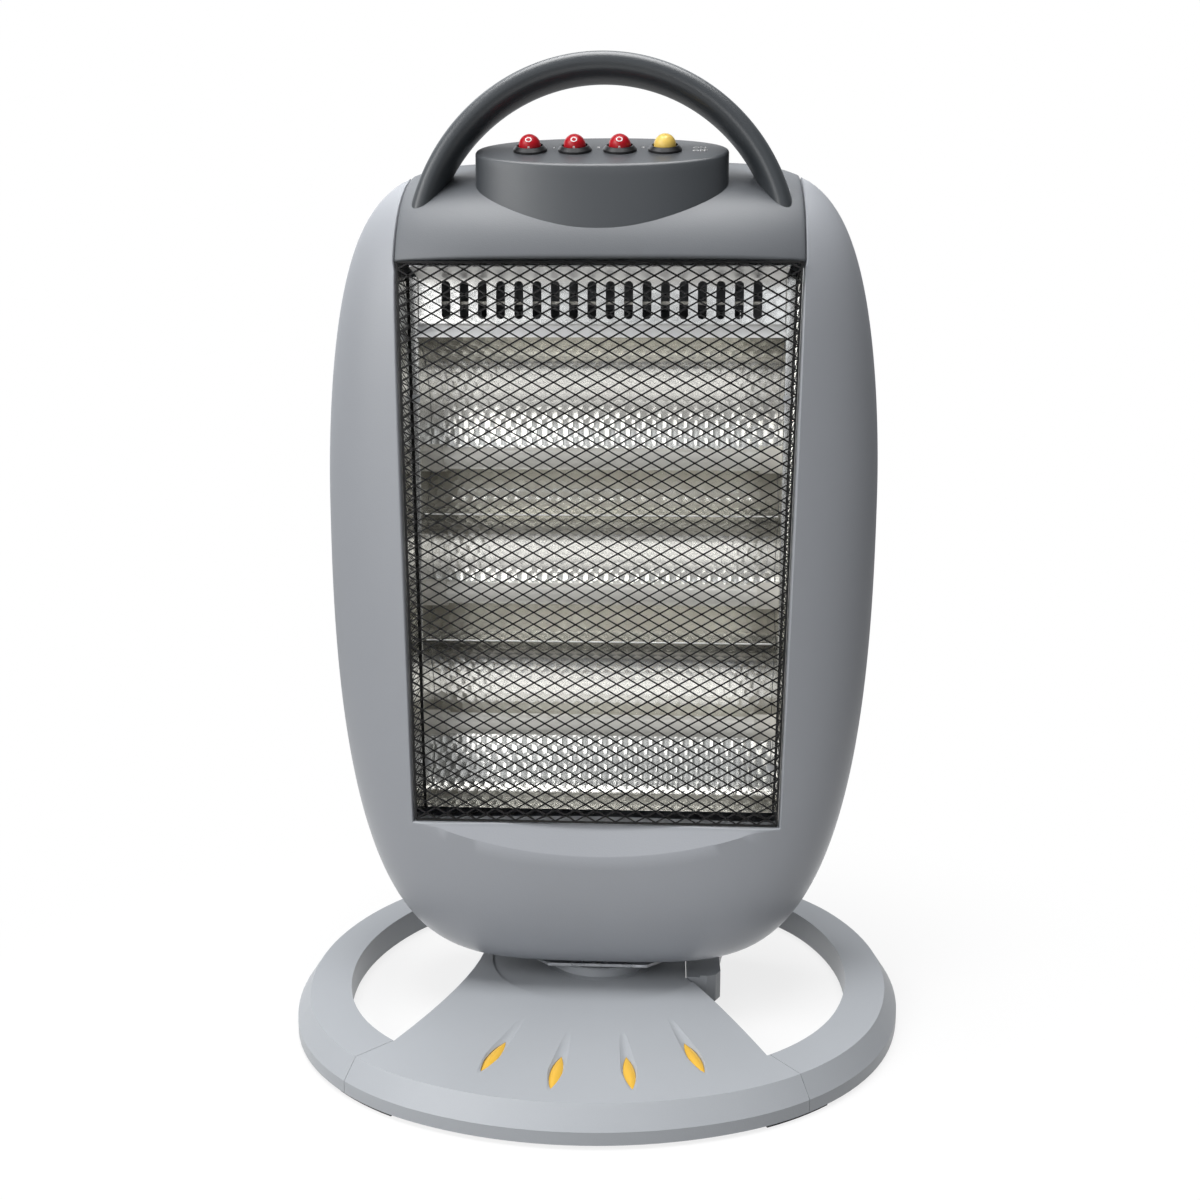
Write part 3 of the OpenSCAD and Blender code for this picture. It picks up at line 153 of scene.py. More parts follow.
def grid_quads(rows, cols, close_rows=False, close_cols=False):
    """Quads of a grid of rows by cols points, wrapped round where asked."""
    r = np.arange(rows if close_rows else rows - 1)[:, None]
    c = np.arange(cols if close_cols else cols - 1)[None, :]
    r2, c2 = (r + 1) % rows, (c + 1) % cols
    corners = [r * cols + c, r2 * cols + c, r2 * cols + c2, r * cols + c2]
    return np.stack([q.ravel() for q in corners], axis=1)


def tube(grid):
    """Points and faces of a tube of rings, with one face over each end."""
    rows, cols = grid.shape[:2]
    faces = grid_quads(rows, cols, close_cols=True).tolist()
    faces += [list(range(cols)), list(range(rows * cols - 1, (rows - 1) * cols - 1, -1))]
    return grid.reshape(-1, 3), faces


def round_trip(grid):
    """Points and faces of a grid that closes on itself both ways."""
    faces = grid_quads(*grid.shape[:2], close_rows=True, close_cols=True)
    return grid.reshape(-1, 3), faces


def thick_grid(outer, inner):
    """Points and faces of a closed wall between two grids of the same shape."""
    rows, cols = outer.shape[:2]
    count = rows * cols
    quads = grid_quads(rows, cols)
    faces = [quads, quads[:, ::-1] + count]
    column = np.arange(rows - 1) * cols
    row = np.arange(cols - 1)
    for edge, near, step in ((column, False, cols), (column + cols - 1, True, cols),
                             (row, True, 1), (row + count - cols, False, 1)):
        strip = np.stack([edge, edge + step, edge + step + count, edge + count], axis=1)
        faces.append(strip if near else strip[:, ::-1])
    return np.concatenate([outer.reshape(-1, 3), inner.reshape(-1, 3)]), np.concatenate(faces)


def joined(parts):
    """Points and faces of several meshes put into one."""
    points, faces, start = [], [], 0
    for p, f in parts:
        points.append(np.asarray(p, float))
        faces += [[i + start for i in face] for face in f]
        start += len(p)
    return np.concatenate(points), faces


def swept(line, across):
    """A grid of points: a line of (Y, Z) pairs repeated at each X."""
    line = np.asarray(line, float)
    shape = (len(across), len(line))
    layers = (across[:, None], line[None, :, 0], line[None, :, 1])
    return np.stack([np.broadcast_to(layer, shape) for layer in layers], axis=-1)


def prisms(starts, ends, section):
    """Straight four-sided prisms between pairs of points: section(along) gives the four
    corners as steps from the middle, for the unit vectors along the prisms."""
    starts, ends = np.asarray(starts, float), np.asarray(ends, float)
    along = ends - starts
    along /= np.linalg.norm(along, axis=1)[:, None]
    rings = [end + corner for end in (starts, ends) for corner in section(along)]
    one = np.array([[0, 1, 5, 4], [1, 2, 6, 5], [2, 3, 7, 6], [3, 0, 4, 7], [3, 2, 1, 0],
                    [4, 5, 6, 7]])
    faces = (one[None] + 8 * np.arange(len(starts))[:, None, None]).reshape(-1, 4)
    return np.stack(rings, axis=1).reshape(-1, 3), faces


def square_to(along, other):
    """Unit vectors square to two others."""
    across = np.cross(along, other)
    return across / np.linalg.norm(across, axis=1)[:, None]


def bars(starts, ends, wide, deep):
    """Strands with a rectangular section: wide lies across the strand in the plane square to
    Y, and deep along Y."""
    back = np.array([0.0, 1.0, 0.0])
    corners = ((-0.5, -0.5), (0.5, -0.5), (0.5, 0.5), (-0.5, 0.5))
    return prisms(starts, ends, lambda along: [
        square_to(along, back) * (wide * a) + back * (deep * b) for a, b in corners])


def strips(starts, ends, half):
    """Strands with a diamond-shaped section of the given half-width."""

    def diamond(along):
        other = np.where(np.abs(along[:, :1]) > 0.9, [[0.0, 0.0, 1.0]], [[1.0, 0.0, 0.0]])
        one = square_to(along, other) * half
        two = np.cross(along, one)
        return [one, two, -one, -two]

    return prisms(starts, ends, diamond)


def in_scene(name, data):
    """A new object of a mesh, a curve, a camera or a lamp, linked to the scene."""
    thing = bpy.data.objects.new(name, data)
    bpy.context.scene.collection.objects.link(thing)
    return thing


def smoothed(mesh, crease):
    """Shades a mesh smooth, apart from edges sharper than crease, in degrees."""
    mesh.shade_smooth()
    mesh.set_sharp_from_angle(angle=radians(crease))


def point_faces_out(piece):
    """Turns every face of a closed mesh outwards."""
    work = bmesh.new()
    work.from_mesh(piece.data)
    bmesh.ops.remove_doubles(work, verts=work.verts, dist=1e-7)
    bmesh.ops.recalc_face_normals(work, faces=work.faces)
    work.to_mesh(piece.data)
    work.free()
    return piece


def add_piece(name, points, faces, body, slot, *stands_for, finish=None, crease=35,
              turn_out=True):
    """A mesh object in metres that rides on a body, with the finish of its slot, or another."""
    mesh = bpy.data.meshes.new(name)
    mesh.from_pydata(np.asarray(points, float) * MM, [], [list(map(int, f)) for f in faces])
    mesh.validate()
    smoothed(mesh, crease)
    piece = in_scene(name, mesh)
    mesh.materials.append(finish or FINISHES[slot])
    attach(piece, body)
    if stands_for:
        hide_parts(*stands_for)
    return point_faces_out(piece) if turn_out else piece


# ---- materials

SHEET_PLACE = "sheet_place"  # coordinates on a sheet, across and along, in metres
PAINTED_SHADE_LAYER = "painted_sheet_shade"  # brightness left on a sheet after its painted shade


def put(tree, kind, inputs=(), **settings):
    """A new node: inputs gives a value, or the socket that feeds it, by name or number."""
    node = tree.nodes.new("ShaderNode" + kind)
    for name, value in settings.items():
        setattr(node, name, value)
    for name, value in dict(inputs).items():
        if isinstance(value, bpy.types.NodeSocket):
            tree.links.new(value, node.inputs[name])
        else:
            node.inputs[name].default_value = value
    return node


def reckon(tree, operation, *values):
    """The result of a Math node."""
    return put(tree, "Math", enumerate(values), operation=operation).outputs[0]


def blend_tones(tree, share, dark, light):
    """The colour that lies at a share of the way from dark to light."""
    return put(tree, "Mix", {"Factor": share, 6: dark, 7: light}, data_type="RGBA").outputs[2]


def object_place(tree):
    """The point of the surface in the object's own metres."""
    return put(tree, "TexCoord").outputs["Object"]


def node_group(name, numbers, outputs, build):
    """A shader node group with the colours Dark and Light and named numbers going in.
    build(group, inlets) fills it and returns what feeds each output, by name."""
    group = bpy.data.node_groups.new(name, "ShaderNodeTree")
    for label in ("Dark", "Light"):
        group.interface.new_socket(name=label, in_out="INPUT", socket_type="NodeSocketColor")
    for label in numbers:
        group.interface.new_socket(name=label, in_out="INPUT", socket_type="NodeSocketFloat")
    for label, kind in outputs:
        group.interface.new_socket(name=label, in_out="OUTPUT", socket_type="NodeSocket" + kind)
    inlet = group.nodes.new("NodeGroupInput")
    outlet = group.nodes.new("NodeGroupOutput")
    for label, value in build(group, inlet.outputs).items():
        group.links.new(value, outlet.inputs[label])
    return group


GRAIN_HIGH = 0.0002  # height of the grain at full strength, in metres
GRAIN_SPREAD = 0.12  # how far the roughness varies


def moulded_grain(group, inlets):
    """Fine spark-eroded texture: two noises of different size raise a bump, and a slow
    noise varies the colour and the roughness a little."""
    place = object_place(group)
    fine = put(group, "TexNoise", {"Vector": place, "Scale": inlets["Grain Scale"], "Detail": 3.0})
    slow = put(group, "TexNoise", {"Vector": place, "Scale": 14.0, "Detail": 4.0}).outputs["Fac"]
    bump = put(group, "Bump", {"Distance": GRAIN_HIGH, "Strength": inlets["Grain"],
                               "Height": fine.outputs["Fac"]})
    return {"Color": blend_tones(group, slow, inlets["Dark"], inlets["Light"]),
            "Roughness": reckon(group, "MULTIPLY_ADD", slow, GRAIN_SPREAD, inlets["Roughness"]),
            "Normal": bump.outputs["Normal"]}


def embossing(group, inlets):
    """Small six-sided dimples: the distance to the nearest point of a barely disturbed cell
    pattern gives the height, and a slow noise varies the colour."""
    place = object_place(group)
    cells = put(group, "TexVoronoi", {"Scale": inlets["Cells"], "Randomness": 0.35,
                                      "Vector": place})
    bump = put(group, "Bump", {"Strength": inlets["Rise"], "Distance": 0.0012,
                               "Height": cells.outputs["Distance"]})
    tint = put(group, "TexNoise", {"Scale": 9.0, "Vector": place}).outputs["Fac"]
    return {"Color": blend_tones(group, tint, inlets["Dark"], inlets["Light"]),
            "Normal": bump.outputs["Normal"]}


def spangle(group, inlets):
    """Flat crystals of a galvanised sheet, each with its own brightness and gloss."""
    crystals = put(group, "TexVoronoi", {"Scale": 160.0, "Vector": object_place(group)})
    grey = put(group, "SeparateColor", {"Color": crystals.outputs["Color"]})
    return {"Color": blend_tones(group, grey.outputs[0], inlets["Dark"], inlets["Light"]),
            "Roughness": reckon(group, "MULTIPLY_ADD", grey.outputs[1], 0.2, inlets["Roughness"])}


COLOUR, GLOSS, SLOPE = ("Color", "Color"), ("Roughness", "Float"), ("Normal", "Vector")
GRAIN = node_group("moulded_grain", ("Roughness", "Grain", "Grain Scale"),
                   (COLOUR, GLOSS, SLOPE), moulded_grain)
EMBOSS = node_group("embossing", ("Cells", "Rise"), (COLOUR, SLOPE), embossing)
SPANGLE = node_group("spangle", ("Roughness",), (COLOUR, GLOSS), spangle)


def blank(name, **values):
    """A material with its tree and its Principled shader, whose inputs are set by name."""
    material = bpy.data.materials.new(name)
    material.use_nodes = True
    shader = material.node_tree.nodes["Principled BSDF"]
    for label, value in values.items():
        shader.inputs[label.replace("_", " ")].default_value = value
    return material, material.node_tree, shader


def tones(colour, dark, light):
    """A colour times dark and times light, the two ends of its variation."""
    colour = np.array(colour)
    return {"Dark": (*(colour * dark), 1), "Light": (*np.clip(colour * light, 0, 1), 1)}


def finished(group, name, values, **plain):
    """A material whose shader is fed by a group's outputs of the same names."""
    material, tree, shader = blank(name, **plain)
    for outlet in put(tree, "Group", values, node_tree=group).outputs:
        label = "Base Color" if outlet.name == "Color" else outlet.name
        tree.links.new(outlet, shader.inputs[label])
    return material


def plastic(name, colour, roughness=0.42, grain=0.25, scale=1400.0, **plain):
    """Moulded plastic with its grain and a slight variation of colour."""
    values = {**tones(colour, 0.95, 1.05), "Roughness": roughness - GRAIN_SPREAD / 2,
              "Grain": grain, "Grain Scale": scale}
    return finished(GRAIN, name, values, **plain)


def embossed_sheet(name, colour, roughness, cell, rise):
    """Bright aluminium sheet embossed with small dimples, cell millimetres apart."""
    values = {**tones(colour, 0.86, 1.06), "Cells": 1 / (cell * MM), "Rise": rise}
    return finished(EMBOSS, name, values, Metallic=1.0, Roughness=roughness)


def spangled_zinc(name, colour, roughness):
    """Galvanised steel."""
    return finished(SPANGLE, name, {**tones(colour, 0.75, 1.0), "Roughness": roughness},
                    Metallic=1.0)


def dimpled_sheet(name, colour, roughness, cell, relief):
    """Bright aluminium sheet with six-sided dimples in rows. The sheet's own coordinates are
    cut into two rectangular lattices, one shifted by half a cell; the nearer lattice point
    bounds six-sided cells. In a cell the height is x squared plus a quarter of y squared,
    times about four times relief, so that a dimple curves most from side to side."""
    material, tree, shader = blank(name, Metallic=1.0)

    def vector(operation, *values):
        return put(tree, "VectorMath", enumerate(values), operation=operation).outputs

    tall = 3**0.5
    across = 1 / (cell * MM)
    place = put(tree, "UVMap", uv_map=SHEET_PLACE).outputs["UV"]
    cells = vector("MULTIPLY", place, (across, across / tall, 0))[0]
    away, bowls = [], []
    for shift in (0.0, 0.5):
        share = vector("FRACTION", vector("ADD", cells, (shift, shift, 0))[0])[0]
        centred = vector("SUBTRACT", share, (0.5, 0.5, 0))[0]
        scaled = vector("MULTIPLY", centred, (1, tall, 0))[0]
        narrow = vector("MULTIPLY", scaled, (1, 0.25, 0))[0]
        away.append(vector("LENGTH", scaled)["Value"])
        bowls.append(vector("DOT_PRODUCT", scaled, narrow)["Value"])
    nearer = reckon(tree, "LESS_THAN", *away)
    bowl = put(tree, "Mix", {"Factor": nearer, "A": bowls[1], "B": bowls[0]}).outputs["Result"]
    uneven = put(tree, "TexNoise", {"Scale": 90.0, "Vector": object_place(tree)}).outputs["Fac"]
    height = reckon(tree, "MULTIPLY", bowl, reckon(tree, "MULTIPLY_ADD", uneven, 3.0, 2.5))
    bump = put(tree, "Bump", {"Strength": 1.0, "Distance": relief, "Height": height})
    shade = blend_tones(tree, uneven, *tones(colour, 0.9, 1.05).values())
    # the colour is darkened by the painted shade kept on the sheet's points
    left = put(tree, "Attribute", attribute_name=PAINTED_SHADE_LAYER).outputs["Fac"]
    final = put(tree, "VectorMath", {0: shade, "Scale": left}, operation="SCALE").outputs[0]
    rough = reckon(tree, "MULTIPLY_ADD", uneven, 0.16, roughness - 0.08)
    for label, value in (("Base Color", final), ("Roughness", rough),
                         ("Normal", bump.outputs["Normal"])):
        tree.links.new(value, shader.inputs[label])
    return material


FINISHES = {  # by the slots of the record
    "shell_plastic": plastic("shell_grey", (0.300, 0.312, 0.335)),
    "cap_plastic": plastic("cap_grey", (0.100, 0.107, 0.117), 0.45),
    "panel_plastic": plastic("panel_grey", (0.050, 0.055, 0.061)),
    "handle_plastic": plastic("handle_grey", (0.036, 0.041, 0.046), 0.36, grain=0.15),
    "base_plastic": plastic("base_grey", (0.365, 0.382, 0.405), 0.5),
    "black_plastic": plastic("black_plastic", (0.012, 0.012, 0.013), 0.35, grain=0.1),
    "pad_rubber": plastic("pad_rubber", (0.02, 0.02, 0.02), 0.8, grain=0.5, scale=700),
    "red_plastic": plastic("red_rocker", (0.49, 0.005, 0.014), 0.34, grain=0.05,
                           Specular_IOR_Level=0.32),
    "yellow_plastic": plastic("yellow_rocker", (0.95, 0.65, 0.14), grain=0.08, Coat_Weight=0.06),
    "amber_lens": plastic("amber_lens", (0.78, 0.46, 0.05), 0.22, grain=0.05, Coat_Weight=0.3),
    "ceramic": plastic("ceramic", (0.72, 0.70, 0.64), 0.6, grain=0.3, scale=900),
    "mesh_black": plastic("mesh_black", (0.004, 0.004, 0.004), 0.55, grain=0.2, scale=2200,
                          Specular_IOR_Level=0.25),
    "frosted_tube": plastic("frosted_tube", (0.80, 0.785, 0.73), 0.3, grain=0.05,
                            Coat_Weight=0.5),
    "reflector_sheet": embossed_sheet("bright_sheet", (0.95, 0.94, 0.91), 0.2, 3.0, 0.015),
    "zinc_steel": spangled_zinc("zinc_steel", (0.72, 0.73, 0.74), 0.25),
    "bright_steel": spangled_zinc("bright_steel", (0.62, 0.63, 0.64), 0.2),
}
FINISHES["plunger_plastic"] = FINISHES["red_plastic"]
FINISHES["filament_wire"] = FINISHES["bright_steel"]

# Finishes that scene.py's own pieces have instead of their slot's
LEGEND = plastic("legend_white", (0.88, 0.88, 0.88), 0.5, grain=0.0)
DIMPLED = dimpled_sheet("reflector_sheet", (0.97, 0.95, 0.90), 0.21, 5.8, 0.00036)
WORN = embossed_sheet("worn_sheet", (0.98, 0.97, 0.95), 0.5, 3.0, 0.01)


def finish_cad_nodes():
    """Gives every CAD node the finish of its slot in the record."""
    for part in frame["record"]["subparts"]:
        mesh = frame["nodes"][part["node"]].data
        mesh.materials.clear()
        mesh.materials.append(FINISHES[part["material_slot"]])


# ---- head shells

SCOOP_HALF = 91.0  # where the scoop's lower edge meets the window's lower edge
SCOOP_LOW = 95.6  # height of the scoop's lower edge in the middle
SCOOP_DEEP = 10.5  # how far the window's lower edge is set back
SILL_DEEP, REAR_SILL = 14.0, 3.0  # depth of the inner wall at the window and the rear opening
CREASE_OFF = 1.5  # least distance of a crease from the rim
CREASE_W = 0.45  # width of the strip that turns at a crease
OUTER_EDGE = 0.7  # bevel at the parting line
CLEAR = 0.02  # least distance of a skin from the parting line
REAR_HALF, REAR_FOOT, REAR_TOP = 78.0, 150.0, 400.0  # opening for the rear panel


def scoop_line(x):
    """Height of the scoop's lower edge: a parabola that meets the window's lower edge."""
    return SCOOP_LOW + (WIN_FOOT - SCOOP_LOW) * np.clip(np.abs(x) / SCOOP_HALF, 0, 1) ** 2


def scoop(x, z):
    """Set-back under the window: nothing below a bowed line, growing evenly above it."""
    rise = np.clip((z - scoop_line(x)) / (WIN_FOOT - SCOOP_LOW), 0, 1.2)
    return SCOOP_DEEP * rise * (np.abs(x) < SCOOP_HALF)


def band(turns, near, knot, skin, steps, side, lip):
    """Closed section of a shell at each turn, from the opening's rim over the skin to the
    parting line and back along the inside. Distances run outwards from the head's middle,
    and knot is the one at which the skin has a crease. side is -1 in front and 1 behind."""
    far, far_in = [ray_length(turns, lambda x, z: np.abs(x) < half_width(HEAD_MID + z, inset))
                   for inset in (0.0, WALL)]
    dx, dz = np.cos(turns), np.sin(turns)

    def at(k, y):
        return np.stack([k * dx, y, HEAD_MID + k * dz], axis=-1)

    def skin_at(k, inset=0.0):
        return skin(k * dx, HEAD_MID + k * dz, inset)

    start = near + RIM_R
    rim = skin_at(start)
    sections = [at(near, rim - side * lip)]
    for a in np.radians((0, 30, 60)):
        sections.append(at(near + RIM_R * (1 - cos(a)), rim - side * RIM_R * (1 - sin(a))))
    knot = np.maximum(knot, start + CREASE_OFF)
    outward = [start + (knot - CREASE_W - start) * j / 6 for j in range(7)]
    outward += [knot + (far - knot) * (1 - (1 - j / steps) ** 3) for j in range(steps + 1)]
    sections += [at(k, skin_at(k)) for k in outward[:-1]]
    sections.append(at(far, side * np.maximum(side * skin_at(far), SEAM / 2)))
    parting = np.full_like(far, side * CLEAR)
    sections.append(at(far - OUTER_EDGE, parting))
    for j in range(steps, -1, -2):
        k = near + WALL + (far_in - near - WALL) * (1 - (1 - j / steps) ** 3)
        sections.append(at(k, parting if j == steps else skin_at(k, WALL)))
    sections.append(at(near + WALL, rim - side * lip))
    return np.stack(sections, axis=1)


def spread(corners, step):
    """Turns that run through every corner, about step degrees apart."""
    out = []
    for a, b in zip(corners[:-1], corners[1:]):
        count = max(2, int(round(abs(b - a) / radians(step))))
        out.append(np.linspace(a, b, count, endpoint=False))
    return np.concatenate(out + [[corners[-1]]])


def front_shell():
    """The light grey moulding round the window: a band that runs from the cap's seam on one
    side, down round the window, and up to the seam on the other side."""
    seam = CAP_HALF + SEAM
    foot_turn = atan((HEAD_MID - WIN_FOOT) / WIN_FOOT_HALF)
    side_turn = atan((WIN_TOP - HEAD_MID) / seam)
    top_turn = atan((float(top_height(CAP_HALF + 2)) - HEAD_MID) / (CAP_HALF + 2))
    turns = spread([pi - top_turn, pi - side_turn, pi + foot_turn, 2 * pi - foot_turn,
                    2 * pi + side_turn, 2 * pi + top_turn], 1.2)
    dx, dz = np.cos(turns), np.sin(turns)
    middle = WIN_FOOT_HALF + WIN_SLOPE * (HEAD_MID - WIN_FOOT)
    beside = reach_to(middle, np.abs(dx) - WIN_SLOPE * dz)
    high = reach_to(seam, np.abs(dx))
    near = np.where(high * dz > WIN_TOP - HEAD_MID - 0.1, high, beside)
    near = np.where(dz < 0, np.minimum(near, reach_to(HEAD_MID - WIN_FOOT, -dz)), near)
    knot = ray_length(turns, lambda x, z: (HEAD_MID + z > scoop_line(x)) | (z > 0), near)
    knot = np.where((dz < 0) & (knot * np.abs(dx) < SCOOP_HALF), knot, near)

    def skin(x, z, inset=0.0):
        return np.minimum(front_skin(x, z, inset) + scoop(x, z), -CLEAR)

    add_piece("front_shell_skin", *tube(band(turns, near, knot, skin, 30, -1, SILL_DEEP)),
              "head", "shell_plastic", "front_shell")


def rear_shell():
    """The light grey rear moulding: a closed band round the rear panel's opening."""
    high = atan((REAR_TOP - HEAD_MID) / REAR_HALF)
    low = atan((HEAD_MID - REAR_FOOT) / REAR_HALF)
    turns = spread([-low, high, pi - high, pi + low, 2 * pi - low], 1.6)[:-1]
    dx, dz = np.cos(turns), np.sin(turns)
    level = np.where(dz > 0, REAR_TOP - HEAD_MID, HEAD_MID - REAR_FOOT)
    near = np.minimum(reach_to(REAR_HALF, np.abs(dx)), reach_to(level, np.abs(dz)))

    def skin(x, z, inset=0.0):
        return np.maximum(rear_skin(x, z, inset), CLEAR)

    add_piece("rear_shell_skin", *round_trip(band(turns, near, near, skin, 26, 1, REAR_SILL)),
              "head", "shell_plastic", "rear_shell")


def top_cap():
    """The mid grey cap over the window: a grid across the width and up the skin to the
    parting line, rounded off at its lower and side edges."""
    edge = np.array([0, 0.25, 0.6, 1.1])
    across = np.concatenate([edge, np.linspace(3, CAP_HALF * 2 - 3, 90),
                             CAP_HALF * 2 - edge[::-1]]) - CAP_HALF
    share = np.concatenate([[0, 0.002, 0.006, 0.013], 1 - (1 - np.linspace(0.01, 1, 46)) ** 2.6])

    def skin(inset):
        x = across[:, None] + 0 * share[None]
        z = WIN_TOP + (top_height(across, inset)[:, None] - WIN_TOP) * share[None]
        y = np.minimum(front_skin(x, z, inset), -SEAM / 2)
        if inset == 0:
            y = y + edge_drop(CAP_HALF - np.abs(x), RIM_R) + edge_drop(z - WIN_TOP, RIM_R)
        y = np.where(share[None] == 1, -CLEAR if inset else -SEAM / 2, y)
        return np.stack([x, np.minimum(y, -CLEAR), z], axis=-1)

    add_piece("top_cap_skin", *thick_grid(skin(0.0), skin(WALL)), "head", "cap_plastic",
              "top_cap")


# ---- handle

ARCH_R, ARCH_Z, ARCH_FRONT = 97.0, 407.5, 29.0  # arch along the middle of the grip
ARCH_START = radians(6)  # turn at which the arch begins, inside the cap
GRIP_T, GRIP_D = 12.8, 22.0  # thickness along the radius and depth
GRIP_POWER = 2.35  # squareness of its section


def superellipse(turns, half_x, half_y, power):
    """Points of a superellipse at even turns."""
    c, s = np.cos(turns), np.sin(turns)
    x = half_x * np.sign(c) * np.abs(c) ** (2 / power)
    y = half_y * np.sign(s) * np.abs(s) ** (2 / power)
    return x, y


def carry_handle():
    """A rounded section carried along an arc in the plane of the head's width. Its ends sit
    inside the cap."""
    along = np.linspace(ARCH_START, pi - ARCH_START, 121)[:, None]
    radial, deep = superellipse(around(48), GRIP_T / 2, GRIP_D / 2, GRIP_POWER)
    reach = ARCH_R + radial[None]
    points = np.stack([reach * np.cos(along), -ARCH_FRONT + deep[None] + 0 * along,
                       ARCH_Z + reach * np.sin(along)], axis=-1)
    add_piece("handle_grip", *tube(points), "head", "handle_plastic", "carry_handle")


# ---- switch panel

PANEL_HALF, PANEL_HALF_D = 66.0, 23.8  # half its width and depth
PANEL_FRONT, PANEL_Z = 28.8, 464.0  # middle of its top
PANEL_POWER = 2.15  # squareness of its plan
PANEL_TILT = radians(32.5)  # of its top, down to the front
PANEL_EDGE = 1.3  # rounding of its upper edge
PANEL_SUNK = 4.0  # how far its foot is sunk in the cap, and stays above the window
SWITCH_PITCH, SWITCH_SHIFT = 23.4, 2.3  # pitch of the switches, and shift of the row to the left
BARREL_R, BORE_SPARE = 8.0, 0.1  # switch body and the room round it
BORE_FROM, BORE_TO = -14.0, 6.0  # lower and upper end of the bores, square to the top


def switch_middle(k):
    """X of the k-th switch."""
    return (k - 1.5) * SWITCH_PITCH - SWITCH_SHIFT


def panel_frame(x, y, z):
    """A point given on the tilted top, with z square to it, in the head's frame."""
    return (x, y * cos(PANEL_TILT) - z * sin(PANEL_TILT) - PANEL_FRONT,
            y * sin(PANEL_TILT) + z * cos(PANEL_TILT) + PANEL_Z)


def switch_panel():
    """An upright oval column standing out of the cap, cut off by the tilted top, with a
    rounded edge, and bored for the four switches. Its foot is sunk in the cap: it starts
    below the height at which the front skin is as deep."""
    turns = around(160)
    x, y = superellipse(turns, PANEL_HALF, PANEL_HALF_D, PANEL_POWER)
    y = y - PANEL_FRONT
    meets = halved(np.full_like(x, WIN_TOP), top_height(x), lambda z: front_skin(x, z) < y)
    low = np.maximum(meets - PANEL_SUNK, WIN_TOP + PANEL_SUNK)
    top = PANEL_Z + (y + PANEL_FRONT) * tan(PANEL_TILT)
    rings = [np.stack([x, y, low + (top - PANEL_EDGE - low) * share], axis=-1)
             for share in (0, *np.linspace(0.15, 1, 7))]
    for a in np.radians((25, 50, 75, 90)):
        inset = PANEL_EDGE * (1 - cos(a))
        xi, yi = superellipse(turns, PANEL_HALF - inset, PANEL_HALF_D - inset, PANEL_POWER)
        zi = PANEL_Z + yi * tan(PANEL_TILT) - PANEL_EDGE * (1 - sin(a))
        rings.append(np.stack([xi, yi - PANEL_FRONT, zi], axis=-1))
    bore_for_switches(add_piece("panel_housing", *tube(np.stack(rings)), "head",
                                "panel_plastic", "switch_panel"))


def bore_for_switches(piece):
    """Cuts a round hole through the panel's top for each switch."""
    turns = around(48)
    reach = BARREL_R + BORE_SPARE
    parts = []
    for k in range(4):
        ends = [np.stack(panel_frame(switch_middle(k) + reach * np.cos(turns),
                                     reach * np.sin(turns), z + 0 * turns), axis=-1)
                for z in (BORE_FROM, BORE_TO)]
        parts.append(tube(np.stack(ends)))
    points, faces = joined(parts)
    mesh = bpy.data.meshes.new("switch_bores")
    mesh.from_pydata(points * MM, [], faces)
    cutter = point_faces_out(in_scene("switch_bores", mesh))
    cut = piece.modifiers.new("bores", "BOOLEAN")
    cut.operation, cut.solver, cut.object = "DIFFERENCE", "EXACT", cutter
    solid = settled_mesh(piece)
    piece.modifiers.clear()
    piece.data = solid
    smoothed(solid, 30)
    bpy.data.objects.remove(cutter)


def settled_mesh(thing):
    """A new mesh of an object as its modifiers or its curve leave it."""
    bpy.context.view_layer.update()
    graph = bpy.context.evaluated_depsgraph_get()
    return bpy.data.meshes.new_from_object(thing.evaluated_get(graph))


# ---- rockers

ROCKERS = ["rocker_low", "rocker_middle", "rocker_high", "rocker_swing"]
ROCKER_R, DOME_UP, PIVOT_DEEP = 5.8, 3.9, 1.5  # button, its dome's centre and the pivot
DOME_FLAT = 0.2  # how much lower the dome is than a half ball
ROCKER_REST = radians(8)  # its tilt at rest, in the off position
SKIRT_FOOT, SKIRT_BEVEL = -2.0, 0.4  # foot of the button and the bevel round it
PIN_HALF = 7.2  # half the length of its pin, which has a radius of 1
RING_AT, RING_R, RING_TALL = radians(36), (0.20, 0.30), 0.8  # ring's middle, edges, squashing
BAR_ENDS, BAR_HALF = np.radians([70, 85]), 0.08  # the bar's ends and half its width
MARK_LIFTS = (0.05, -0.15)  # faces of the marks above and below the dome's surface


def rocker_point(k, side, up, reach):
    """Places points of the k-th rocker's own frame, whose origin is its pivot."""
    y = up * -sin(ROCKER_REST) + reach * cos(ROCKER_REST)
    z = up * cos(ROCKER_REST) + reach * sin(ROCKER_REST)
    return np.stack(panel_frame(switch_middle(k) + side, y, z - PIVOT_DEEP), axis=-1)


def rockers():
    """Round buttons with domed tops and a pin through each: a profile turned about the
    button's axis, with a small flat on its crown."""
    rise = np.linspace(0, pi / 2, 15)[:-1]
    radius = np.array([ROCKER_R - SKIRT_BEVEL, ROCKER_R, *(ROCKER_R * np.cos(rise))])[:, None]
    up = np.array([SKIRT_FOOT, SKIRT_FOOT + SKIRT_BEVEL,
                   *(DOME_UP + (ROCKER_R - DOME_FLAT) * np.sin(rise))])[:, None]
    turns, pin = around(48), around(16)
    ends = np.array([-PIN_HALF, PIN_HALF])[:, None]
    for k, name in enumerate(ROCKERS):
        dome = rocker_point(k, radius * np.cos(turns), up + 0 * turns, radius * np.sin(turns))
        bar = rocker_point(k, ends + 0 * pin, np.cos(pin) + 0 * ends, np.sin(pin) + 0 * ends)
        add_piece(name + "_button", *joined([tube(dome), tube(bar)]), name,
                  "red_plastic" if k < 3 else "yellow_plastic", name)
        if k < 3:
            rocker_marks(k, name)


